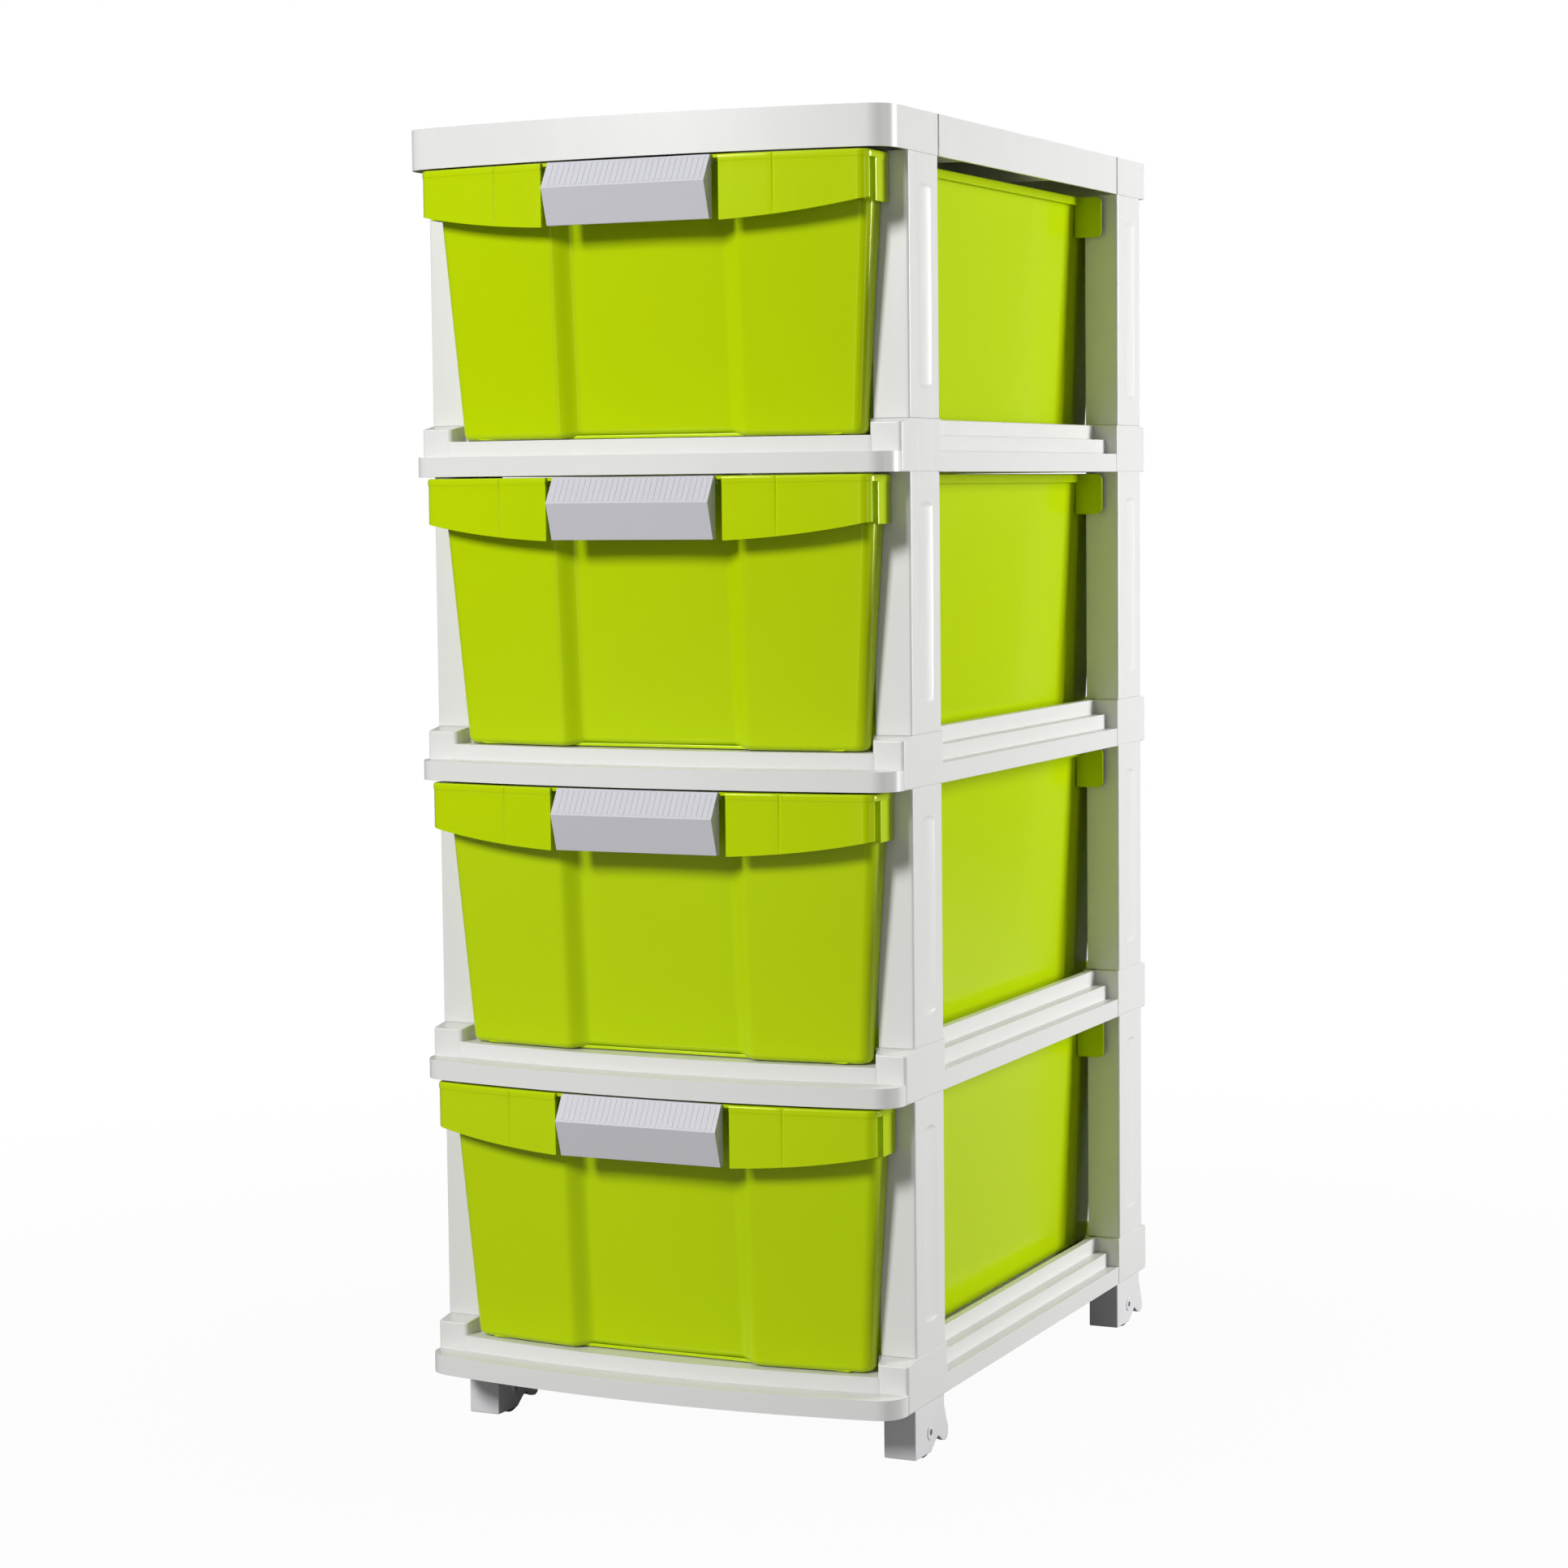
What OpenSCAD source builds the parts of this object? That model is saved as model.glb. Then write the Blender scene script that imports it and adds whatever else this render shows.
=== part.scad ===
// Plastic drawer tower: four tiers of angle posts between bowed shelf frames,
// four tapered drawers with clip-on handles, and four hooded casters.
// Front is -Y, right is +X, +Z is up. The origin is on the floor, below the
// middle of the whole tower.

/* [Tower] */
// Width over the outer faces of the posts
body_w = 386; // [370:1:420]
// Depth from the front posts' front face to the rear posts' rear face
body_d = 500; // [460:1:560]
// Height from one frame's underside to the next
tier_pitch = 224.5; // [210:0.5:250]
// Radius of the bow that every front follows, seen from above
bow_r = 1000; // [800:10:1600]

/* [Frames] */
// How far the middle of a frame's front stands ahead of the posts
frame_reach = 53; // [46:1:60]
// How far a frame stands behind the rear posts
frame_tail = 11; // [9:1:20]
// Radius of a frame's front corners, seen from above
frame_corner_r = 20; // [12:1:26]
// Wall thickness of the frames and the top board
frame_wall = 2.5; // [2:0.1:3.5]
// Height of a frame's outer step
step_1_h = 14.5; // [12:0.5:17]
// Height of the second step, whose top is the shelf that the drawer slides on
step_2_h = 11.5; // [9:0.5:14]
// Height of the third step, level with the corner collars
step_3_h = 12; // [9:0.5:14]
// Width of each step along the sides
step_w = 10; // [8:0.5:11]
// Width of the side guide on top of the steps
guide_w = 7; // [5:0.5:9]
// Depth of the ledge along the front
ledge_w = 22; // [16:1:26]
// How far a corner collar's nose stands ahead of its post
collar_reach = 16; // [10:1:18]
// How far a corner collar reaches past its post towards the tower's inside
collar_lap = 2.5; // [1.5:0.5:3.5]
// How much narrower a collar's nose is at its front than the post behind it
nose_taper = 4; // [2:0.5:6]
// Corner radius of a collar
collar_r = 3; // [2:0.5:5]
// Fall of a collar's top over the length of its nose
nose_fall = 3; // [1:0.5:6]
// Height of the stop along the rear of a shelf
rear_stop_h = 10; // [6:0.5:12]
// Thickness of the stop along the rear of a shelf
rear_stop_t = 5; // [3:0.5:6]
// Thickness of the ribs under the shelves
rib_t = 2; // [1.6:0.2:3]
// Gap left between the ribs and a frame's lower edge
rib_rise = 3; // [1:0.5:6]
// Number of ribs running front to back under a shelf
ribs_across = 2; // [1:1:8]
// Number of ribs running side to side under a shelf
ribs_along = 2; // [1:1:9]

/* [Top board] */
// Height of the top board's skirt
top_h = 29.5; // [26:0.5:40]
// Width of the seam between its side skirts and its corners
seam_w = 3; // [2:0.5:4]
// Depth of that seam
seam_depth = 1.4; // [0.8:0.1:1.8]

/* [Posts] */
// Width of a post's two flanges
post_w = 28; // [25:1:31]
// Depth of a post's outer face
post_d = 56; // [50:1:64]
// Wall thickness of a post
post_t = 3; // [2.8:0.1:4]
// Radius of a post's outer edges
post_r = 2; // [1:0.5:2.5]
// Length of the tongue at each end of a post
tongue_len = 14; // [10:0.5:15]
// How far the tongue is drawn in from the post's faces
tongue_inset = 1.5; // [1.2:0.1:1.6]
// Clearance around a tongue in its socket
socket_gap = 0.2; // [0.1:0.05:0.3]
// Width of the shallow trough in a post's outer face
trough_w = 27; // [20:1:32]
// Depth of the trough at its middle
trough_depth = 1.3; // [0.8:0.1:1.6]
// Distance from the trough to each end of the post
trough_end = 21; // [18:1:30]

/* [Drawers] */
// Gap between a drawer and the shelf that it slides on
slide_gap = 0.6; // [0.4:0.1:1]
// Gap between a drawer and the frame above it
head_gap = 1.4; // [1:0.1:3]
// Gap between a drawer's front and the posts' front faces when it is shut
shut_gap = 1; // [0.5:0.1:2]
// How far the foot of a drawer's front stays inside the posts beside it
side_gap = 3.5; // [2:0.1:5]
// Wall thickness of a drawer
drawer_t = 2.4; // [2:0.1:3]
// Lean of a drawer's front shell, in degrees
draft = 3.9; // [2:0.1:4.5]
// Lean of the tray's sides, in degrees
tray_draft = 2.6; // [1.5:0.1:3.5]
// Lean of the tray's rear wall, in degrees
rear_draft = 0.5; // [0.2:0.1:2]
// How far the foot of a drawer's front stands ahead of the posts, at the middle
foot_reach = 25; // [22:0.5:28]
// Radius of the upright corners of a drawer's front
front_r = 9; // [6:0.5:10]
// Half width of the sunk field in a drawer's front, at its bottom
field_half = 60; // [40:1:80]
// Width over which the front blends into the sunk field
field_blend = 18; // [10:1:26]
// Depth of the sunk field
field_depth = 7; // [4:0.5:9]
// Clearance between a drawer's rim and the posts
rim_gap = 3; // [2:0.5:6]
// How far the rim stands out from the tray's side
rim_w = 4; // [3.5:0.5:12]
// Height of the rim's turned-down edge
rim_h = 7; // [5:0.5:10]
// Gap between a shut drawer's tray and the stop along the rear of the shelf
tray_rear_gap = 5; // [3:0.5:10]
// Radius of the tray's upright rear corners
tray_r = 20; // [8:1:30]
// How far the stop ears lap behind the posts
ear_lap = 16; // [8:0.5:19]
// Height of the stop ears at the drawer's rear
ear_h = 33; // [20:1:44]
// Thickness of the stop ears
ear_t = 3; // [2:0.5:5]
// Gap between a shut drawer's stop ears and the rear posts
ear_gap = 3; // [1:0.5:6]

/* [Drawer lip] */
// How far the middle of the lip stands ahead of the posts
lip_reach = 55; // [50:1:64]
// How far the lip's ends stay inside the posts' outer faces
lip_inset = 14; // [11:0.5:17]
// Radius of the lip's corners
lip_corner_r = 16; // [12:1:22]
// Wall thickness of the lip
lip_t = 2.6; // [2:0.1:3.5]
// Height of the lip at its ends
lip_end_h = 33; // [26:1:40]
// Height of the lip at its middle
lip_mid_h = 47; // [42:1:56]

/* [Handle] */
// Width of a handle
handle_w = 129; // [100:1:150]
// Gap beside a handle in the lip's notch
notch_gap = 6; // [2:0.5:8]
// Height of a handle
handle_h = 45; // [38:1:50]
// Height of the sloped upper face of a handle
handle_brow_h = 18.5; // [12:0.5:24]
// How far the handle's ridge stands ahead of its upper edge
handle_out = 11; // [6:0.5:14]
// How far the handle's lower edge is drawn in behind the ridge
handle_in = 8.5; // [4:0.5:12]
// Wall thickness of a handle
handle_t = 3; // [2:0.1:4]
// Length of the handle's tongue under the lip's top
handle_tongue = 12; // [8:0.5:16]
// Number of fine ribs on the handle's upper face
grip_ribs = 28; // [10:1:36]
// Height of these ribs
grip_rib_h = 0.5; // [0.3:0.1:0.8]

/* [Casters] */
// Height from the floor to the underside of the base frame
caster_h = 46.5; // [44:0.5:60]
// Distance from a stem's axis to the side of the tower
stem_inset_x = 20.5; // [18:0.5:24]
// Distance from a stem's axis to the front or rear face of the posts
stem_inset_y = 28; // [20:0.5:36]
// Radius of a caster's steel stem
stem_r = 4; // [3:0.25:5]
// Length of the stem inside the base frame
stem_len = 16; // [12:0.5:18]
// Radius of the stem's flange
flange_r = 8; // [7:0.5:10]
// Thickness of the stem's flange
flange_t = 1.1; // [0.8:0.1:1.6]
// Gap between the flange and the hood that turns below it
swivel_gap = 0.4; // [0.3:0.05:0.6]
// Radius of a wheel
wheel_r = 19; // [16:0.5:19.5]
// Width of a wheel
wheel_w = 17; // [14:0.5:20]
// Depth of the dish in each side of a wheel
dish_depth = 3; // [1:0.5:5]
// Distance that the wheel trails behind the stem
trail = 16; // [15:0.5:22]
// Radius of the axle
axle_r = 2.5; // [2:0.25:4]
// Radial clearance of the turning fits
run_gap = 0.05; // [0.02:0.01:0.09]
// Gap between the wheel and the inside of its hood
wheel_gap = 1.5; // [1:0.1:3]
// Wall thickness of a hood
hood_t = 2.5; // [2:0.1:3.5]
// Distance from the stem's axis to the front of the hood
hood_front = 12; // [10:0.5:15]
// Distance from the axle to the rear end of the hood
hood_rear = 36; // [30:0.5:42]
// Height of the hood's lower front edge above the floor
hood_clear = 4.5; // [3:0.5:8]

/* [Hidden] */
$fn = 48;
TIERS = [0, 1, 2, 3];
CORNERS = ["front_left", "front_right", "rear_left", "rear_right"];
// A little extra length on a cutting shape, so that it passes the face it cuts
past = 1;

half_w = body_w / 2;
shelf_h = step_1_h + step_2_h;
frame_h = shelf_h + step_3_h;
frame_rear = body_d + frame_tail;
post_len = tier_pitch - frame_h;
post_in = half_w - post_w;
collar_in = post_in - collar_lap;
collar_rear = post_d + collar_lap;

drawer_h = tier_pitch - shelf_h - slide_gap - head_gap;
drawer_foot = shelf_h + slide_gap;
lean = tan(draft);
foot_half = post_in - side_gap;
lip_half = half_w - lip_inset;
rim_half = post_in - rim_gap;
tray_half = rim_half - rim_w;
tray_rear = frame_rear - rear_stop_t - tray_rear_gap;
ear_half = post_in + ear_lap;
ear_y = body_d - post_d - ear_gap - ear_t;
notch_half = handle_w / 2 + notch_gap;
handle_top_y = -lip_reach + lip_t;
ridge_y = handle_top_y - handle_out;

hood_w = wheel_w + 2 * wheel_gap + 2 * hood_t;
hood_top = caster_h - flange_t - swivel_gap;
well_r = wheel_r + wheel_gap;

// Where the tower's whole depth begins and ends, measured from the front posts
tower_front = min(ridge_y, -frame_reach);
tower_rear = max(frame_rear, body_d - stem_inset_y + trail + hood_rear);
mid_y = (tower_front + tower_rear) / 2;

function tier_z(i) = caster_h + i * tier_pitch;
function is_right(corner) = corner == "front_right" || corner == "rear_right";
function is_rear(corner) = corner == "rear_left" || corner == "rear_right";
function post_name(i, corner) = str("post_", i + 1, "_", corner);

white = [0.90, 0.90, 0.88];
green = [0.71, 0.83, 0.05];
grey = [0.77, 0.77, 0.81];
rubber = [0.36, 0.35, 0.35];
steel = [0.70, 0.71, 0.73];

// How far the bow has fallen back at a distance x from the middle
function bow(x) = bow_r - sqrt(bow_r * bow_r - x * x);

// Goes from 0 to 1 and back in a smooth step as x passes the blend
function blend(x) = let (t = min(1, max(0, x))) t * t * (3 - 2 * t);

// Points along an arc, from one angle to another
function arc(x, y, r, from, to, steps) =
    [for (k = [0:steps]) let (a = from + (to - from) * k / steps) [x + r * cos(a), y + r * sin(a)]];

// Plan of a bowed front: its sides, two tangent corners and an arc between them
module bowed_plan(half, reach, r, rear) {
    centre_y = bow_r - reach;
    corner_x = half - r;
    corner_y = centre_y - sqrt(pow(bow_r - r, 2) - pow(corner_x, 2));
    turn = asin(corner_x / (bow_r - r));
    left = arc(-corner_x, corner_y, r, 180, 270 - turn, 6);
    front = arc(0, centre_y, bow_r, 270 - turn, 270 + turn, 32);
    right = arc(corner_x, corner_y, r, 270 + turn, 360, 6);
    inner = [for (k = [1:len(front) - 2]) front[k]];
    polygon(concat([[-half, rear]], left, inner, right, [[half, rear]]));
}

// Rectangle from one corner to the other with round corners
module soft_square(low, high, r) {
    polygon(concat(
        arc(high[0] - r, high[1] - r, r, 0, 90, 6),
        arc(low[0] + r, high[1] - r, r, 90, 180, 6),
        arc(low[0] + r, low[1] + r, r, 180, 270, 6),
        arc(high[0] - r, low[1] + r, r, 270, 360, 6)
    ));
}

// Solid between two outlines with the same number of points
module loft(low, high, z_low, z_high) {
    n = len(low);
    points = concat(
        [for (p = low) [p[0], p[1], z_low]],
        [for (p = high) [p[0], p[1], z_high]]
    );
    sides = [for (i = [0:n - 1]) let (j = (i + 1) % n) [i, i + n, j + n, j]];
    polyhedron(points, concat([[for (i = [0:n - 1]) i]], [[for (i = [n - 1:-1:0]) n + i]], sides));
}

// Puts a piece drawn at the front right corner at each named corner
module at_corner(corner) {
    mirror([is_right(corner) ? 0 : 1, 0, 0])
        translate([0, is_rear(corner) ? body_d : 0, 0])
            mirror([0, is_rear(corner) ? 1 : 0, 0])
                children();
}

// Moves a piece from the posts' front face to the tower's own frame
module in_tower(z) {
    translate([0, -mid_y, z]) children();
}

// ---- Posts ----

// Section of a post, open towards the tower's inside, drawn in by an inset
module post_section(inset) {
    difference() {
        soft_square([post_in, inset], [half_w - inset, post_d - inset], post_r);
        translate([post_in - past, post_t])
            square([post_w - post_t + past, post_d - 2 * post_t]);
    }
}

// Hollow of the trough in a post: a slice of a wide cylinder with round ends
module trough() {
    trough_r = (pow(trough_w / 2, 2) + pow(trough_depth, 2)) / (2 * trough_depth);
    translate([half_w, post_d / 2, 0])
        intersection() {
            translate([-trough_depth - past, 0, 0])
                rotate([90, 0, 90])
                    linear_extrude(trough_depth + 2 * past)
                        soft_square(
                            [-trough_w / 2 - past, trough_end],
                            [trough_w / 2 + past, post_len - trough_end],
                            trough_w / 2 - past
                        );
            translate([trough_r - trough_depth, 0, 0])
                cylinder(r = trough_r, h = post_len, $fn = 240);
        }
}

module post() {
    color(white)
    difference() {
        union() {
            linear_extrude(post_len) post_section(0);
            translate([0, 0, -tongue_len])
                linear_extrude(post_len + 2 * tongue_len) post_section(tongue_inset);
        }
        trough();
    }
}

// ---- Frames ----

// Room for a post's tongue in a corner of a frame
module tongue_socket(z, depth) {
    grow = tongue_inset - socket_gap;
    translate([post_in - socket_gap, grow, z])
        cube([post_w - grow + socket_gap, post_d - 2 * grow, depth]);
}

// Plan of a collar: a block around the posts, and a tapered nose ahead of them
module collar_plan() {
    polygon(concat(
        [[collar_in, 0], [post_in + 1, 0]],
        arc(post_in + nose_taper + collar_r, collar_r - collar_reach, collar_r, 180, 270, 6),
        arc(half_w - collar_r, collar_r - collar_reach, collar_r, 270, 360, 6),
        arc(half_w - collar_r, collar_rear - collar_r, collar_r, 0, 90, 6),
        arc(collar_in + collar_r, collar_rear - collar_r, collar_r, 90, 180, 6)
    ));
}

// Corner block that holds the posts above and below a frame, with a sloped nose
module collar() {
    difference() {
        linear_extrude(frame_h) collar_plan();
        translate([collar_in - past, 0, 0])
            rotate([90, 0, 90])
                linear_extrude(half_w - collar_in + 2 * past)
                    polygon([
                        [0, frame_h],
                        [-collar_reach, frame_h - nose_fall],
                        [-collar_reach - past, frame_h - nose_fall],
                        [-collar_reach - past, frame_h + past],
                        [0, frame_h + past]
                    ]);
    }
}

// Rear corners are shorter than the front ones, so their block is cut to the frame
module corner_blocks(height) {
    for (corner = CORNERS)
        at_corner(corner)
            intersection() {
                linear_extrude(height + past) {
                    if (is_rear(corner))
                        translate([0, -frame_tail]) square([half_w, body_d / 2]);
                    else
                        translate([0, -frame_reach]) square([half_w, body_d / 2]);
                }
                children();
            }
}

// Plan of the shelf, behind the front ledge and inside the first side step
module shelf_plan(inset) {
    bowed_plan(
        half_w - step_w - inset,
        frame_reach - ledge_w - inset,
        frame_corner_r - inset,
        frame_rear - inset
    );
}

// Ribs under a shelf, as thin walls on both axes
module ribs(height) {
    across = (2 * half_w) / (ribs_across + 1);
    along = (frame_rear + frame_reach) / (ribs_along + 1);
    for (i = [1:ribs_across])
        translate([-half_w + i * across - rib_t / 2, -frame_reach, rib_rise])
            cube([rib_t, frame_rear + frame_reach, height]);
    for (i = [1:ribs_along])
        translate([-half_w, -frame_reach + i * along - rib_t / 2, rib_rise])
            cube([2 * half_w, rib_t, height]);
}

// Shelf, steps and collars, hollow underneath, with sockets for the posts above
module frame_body() {
    difference() {
        union() {
            linear_extrude(step_1_h)
                bowed_plan(half_w, frame_reach, frame_corner_r, frame_rear);
            linear_extrude(shelf_h) shelf_plan(0);
            corner_blocks(frame_h) collar();
            for (s = [-1, 1])
                translate([s * (half_w - 2 * step_w - guide_w / 2) - guide_w / 2, post_d / 2, 0])
                    cube([guide_w, body_d - post_d, frame_h]);
            translate([-collar_in - past, frame_rear - rear_stop_t, 0])
                cube([2 * collar_in + 2 * past, rear_stop_t, shelf_h + rear_stop_h]);
        }
        difference() {
            translate([0, 0, -past]) union() {
                linear_extrude(step_1_h - frame_wall + past)
                    bowed_plan(
                        half_w - frame_wall,
                        frame_reach - frame_wall,
                        frame_corner_r - frame_wall,
                        frame_rear - frame_wall
                    );
                linear_extrude(shelf_h - frame_wall + past) shelf_plan(frame_wall);
            }
            ribs(frame_h);
            corner_blocks(frame_h) linear_extrude(frame_h) collar_plan();
        }
        for (corner = CORNERS)
            at_corner(corner)
                tongue_socket(frame_h - tongue_len - socket_gap, tongue_len + socket_gap + past);
    }
}

module shelf_frame() {
    color(white)
    difference() {
        frame_body();
        for (corner = CORNERS)
            at_corner(corner) tongue_socket(-past, tongue_len + socket_gap + past);
    }
}

module base_frame() {
    color(white)
    difference() {
        frame_body();
        for (corner = CORNERS)
            at_corner(corner)
                translate([half_w - stem_inset_x, stem_inset_y, -past])
                    cylinder(r = stem_r, h = stem_len + past);
    }
}

module top_board() {
    color(white)
    difference() {
        linear_extrude(top_h)
            bowed_plan(half_w, frame_reach, frame_corner_r, frame_rear);
        difference() {
            translate([0, 0, -past])
                linear_extrude(top_h - frame_wall + past)
                    bowed_plan(
                        half_w - frame_wall,
                        frame_reach - frame_wall,
                        frame_corner_r - frame_wall,
                        frame_rear - frame_wall
                    );
            ribs(top_h);
            corner_blocks(top_h) linear_extrude(top_h) collar_plan();
        }
        for (corner = CORNERS)
            at_corner(corner) {
                tongue_socket(-past, tongue_len + socket_gap + past);
                translate([half_w - seam_depth, collar_rear - seam_w, -past])
                    cube([seam_depth + past, seam_w, top_h + 2 * past]);
            }
    }
}

// ---- Drawers ----

// Plan of a drawer's front at one height: bowed, with a sunk field and round
// corners, reaching back to a straight rear edge
function front_plan(half, reach, r, rear) =
    let (
        straight = half - r,
        xs = concat(
            [-straight, -(straight + field_half + field_blend) / 2],
            [for (k = [0:6]) -field_half - field_blend * (1 - k / 6)],
            [-field_half / 2, 0, field_half / 2],
            [for (k = [0:6]) field_half + field_blend * k / 6],
            [(straight + field_half + field_blend) / 2, straight]
        ),
        face = [for (x = xs)
            [x, bow(x) - reach + field_depth * blend((field_half + field_blend - abs(x)) / field_blend)]],
        corner_y = bow(straight) - reach + r,
        right = [for (a = [15:15:90]) [straight + r * sin(a), corner_y - r * cos(a)]],
        left = [for (a = [90:-15:15]) [-straight - r * sin(a), corner_y - r * cos(a)]]
    )
    concat(left, face, right, [[half, rear], [-half, rear]]);

// Everything behind the drawer's front face, drawn in by an inset
module behind_front(inset, rear) {
    rise = drawer_h + past;
    r = front_r - inset;
    loft(
        front_plan(foot_half - inset, foot_reach - inset, r, rear),
        front_plan(foot_half + rise * lean - inset, foot_reach + rise * lean - inset, r, rear),
        0,
        rise
    );
}

function tray_plan(half, rear, r) = concat(
    [[-half, -lip_reach], [half, -lip_reach]],
    arc(half - r, rear - r, r, 0, 90, 6),
    arc(r - half, rear - r, r, 90, 180, 6)
);

// The tray's own outside, or its inside when drawn in
module tray(inset) {
    fall = drawer_h * tan(tray_draft);
    rear_fall = drawer_h * tan(rear_draft);
    loft(
        tray_plan(tray_half - fall - inset, tray_rear - rear_fall - inset, tray_r - inset),
        tray_plan(tray_half - inset, tray_rear - inset, tray_r - inset),
        0,
        drawer_h + past
    );
}

// Skirt and top of the lip; the skirt's lower edge is a long smile
module lip() {
    steps = 24;
    function lip_edge(x) = lip_mid_h - (lip_mid_h - lip_end_h) * pow(abs(x) / lip_half, 2.6);
    translate([0, 0, drawer_h - drawer_t])
        linear_extrude(drawer_t) bowed_plan(lip_half, lip_reach, lip_corner_r, -shut_gap);
    intersection() {
        translate([0, 0, drawer_h - lip_mid_h])
            linear_extrude(lip_mid_h)
                difference() {
                    bowed_plan(lip_half, lip_reach, lip_corner_r, -shut_gap);
                    bowed_plan(
                        lip_half - lip_t,
                        lip_reach - lip_t,
                        lip_corner_r - lip_t,
                        past
                    );
                }
        rotate([90, 0, 0])
            linear_extrude(lip_reach + past)
                polygon(concat(
                    [for (k = [0:steps])
                        let (x = lip_half * (2 * k / steps - 1)) [x, drawer_h - lip_edge(x)]],
                    [[lip_half, drawer_h], [-lip_half, drawer_h]]
                ));
    }
}

// Rim around the tray, with its turned-down edge
module rim() {
    outer = tray_plan(rim_half, tray_rear, tray_r);
    inner = tray_plan(rim_half - drawer_t, tray_rear - drawer_t, tray_r - drawer_t);
    intersection() {
        union() {
            translate([0, 0, drawer_h - drawer_t])
                linear_extrude(drawer_t) polygon(outer);
            translate([0, 0, drawer_h - rim_h])
                linear_extrude(rim_h)
                    difference() {
                        polygon(outer);
                        polygon(inner);
                    }
        }
        translate([-rim_half, -shut_gap, 0])
            cube([2 * rim_half, tray_rear + shut_gap, drawer_h]);
    }
}

// Ears that stop the drawer behind the front posts when it is pulled out
module stop_ears() {
    for (s = [-1, 1])
        translate([s * (tray_half + ear_half) / 2, ear_y + ear_t / 2, drawer_h - ear_h / 2])
            cube([ear_half - tray_half + 2 * drawer_t, ear_t, ear_h], center = true);
}

module drawer() {
    color(green)
    difference() {
        union() {
            intersection() {
                behind_front(0, tray_rear + past);
                translate([-body_w, -body_d, 0]) cube([2 * body_w, 3 * body_d, drawer_h]);
                union() {
                    tray(0);
                    translate([-body_w, -lip_reach, 0])
                        cube([2 * body_w, lip_reach - shut_gap, drawer_h]);
                }
            }
            lip();
            rim();
            stop_ears();
        }
        intersection() {
            behind_front(drawer_t, tray_rear + past);
            tray(drawer_t);
            translate([-body_w, -body_d, drawer_t]) cube([2 * body_w, 3 * body_d, tier_pitch]);
        }
        difference() {
            intersection() {
                behind_front(drawer_t, past);
                translate([-body_w, -lip_reach, drawer_t])
                    cube([2 * body_w, lip_reach + past, drawer_h - 2 * drawer_t]);
            }
            tray(0);
        }
        translate([-notch_half, -lip_reach - past, drawer_h - lip_mid_h - past])
            cube([2 * notch_half, bow(notch_half) + lip_t + past, lip_mid_h + 2 * past]);
    }
}

// Handle with a sloped upper face and a ridge, closed at both ends
module handle() {
    top_z = drawer_h;
    ridge_z = drawer_h - handle_brow_h;
    foot_z = drawer_h - handle_h;
    foot_y = ridge_y + handle_in;
    seat_y = -lip_reach + bow(notch_half) + lip_t;
    rib_pitch = handle_w / (grip_ribs + 1);
    slope = atan2(handle_out, handle_brow_h);
    color(grey) {
        difference() {
            translate([-handle_w / 2, 0, 0])
                rotate([90, 0, 90])
                    linear_extrude(handle_w)
                        polygon([
                            [handle_top_y, top_z],
                            [ridge_y, ridge_z],
                            [foot_y, foot_z],
                            [seat_y, foot_z],
                            [seat_y, top_z]
                        ]);
            translate([-handle_w / 2 + handle_t, 0, 0])
                rotate([90, 0, 90])
                    linear_extrude(handle_w - 2 * handle_t)
                        polygon([
                            [handle_top_y, top_z - handle_t],
                            [ridge_y + handle_t, ridge_z],
                            [foot_y + handle_t, foot_z - past],
                            [seat_y + past, foot_z - past],
                            [seat_y + past, top_z - handle_t]
                        ]);
        }
        translate([-handle_w / 2, seat_y - handle_t, drawer_h - drawer_t - handle_t])
            cube([handle_w, handle_tongue + handle_t, handle_t]);
        for (i = [1:grip_ribs])
            translate([-handle_w / 2 + i * rib_pitch, handle_top_y, top_z])
                rotate([-slope, 0, 0])
                    translate([-rib_pitch / 4, -grip_rib_h, -0.95 * handle_brow_h / cos(slope)])
                        cube([rib_pitch / 2, 2 * grip_rib_h, 0.9 * handle_brow_h / cos(slope)]);
    }
}

// ---- Casters ----

// Puts a caster drawn at its stem's axis under each corner, always facing front
module at_stem(corner) {
    x = half_w - stem_inset_x;
    y = is_rear(corner) ? body_d - stem_inset_y : stem_inset_y;
    translate([is_right(corner) ? x : -x, y, 0]) children();
}

// Side outline of a hood: front plate, flat top, rear bulge with a notch below
module hood_side() {
    tail = trail + hood_rear;
    polygon([
        [-hood_front, hood_clear],
        [-hood_front, hood_top - 2],
        [-hood_front + 2, hood_top],
        [tail - 9, hood_top],
        [tail - 8, hood_top - 3],
        [tail - 8, hood_top * 0.74],
        [tail - 4, hood_top * 0.52],
        [tail - 0.5, hood_top * 0.35],
        [tail, hood_top * 0.24],
        [tail - 1.5, hood_top * 0.16],
        [tail - 5, hood_top * 0.13],
        [tail - 12, hood_top * 0.16],
        [tail - 20, hood_top * 0.28],
        [tail - 25, hood_top * 0.22],
        [tail - 34, hood_clear * 0.8]
    ]);
}

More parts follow.
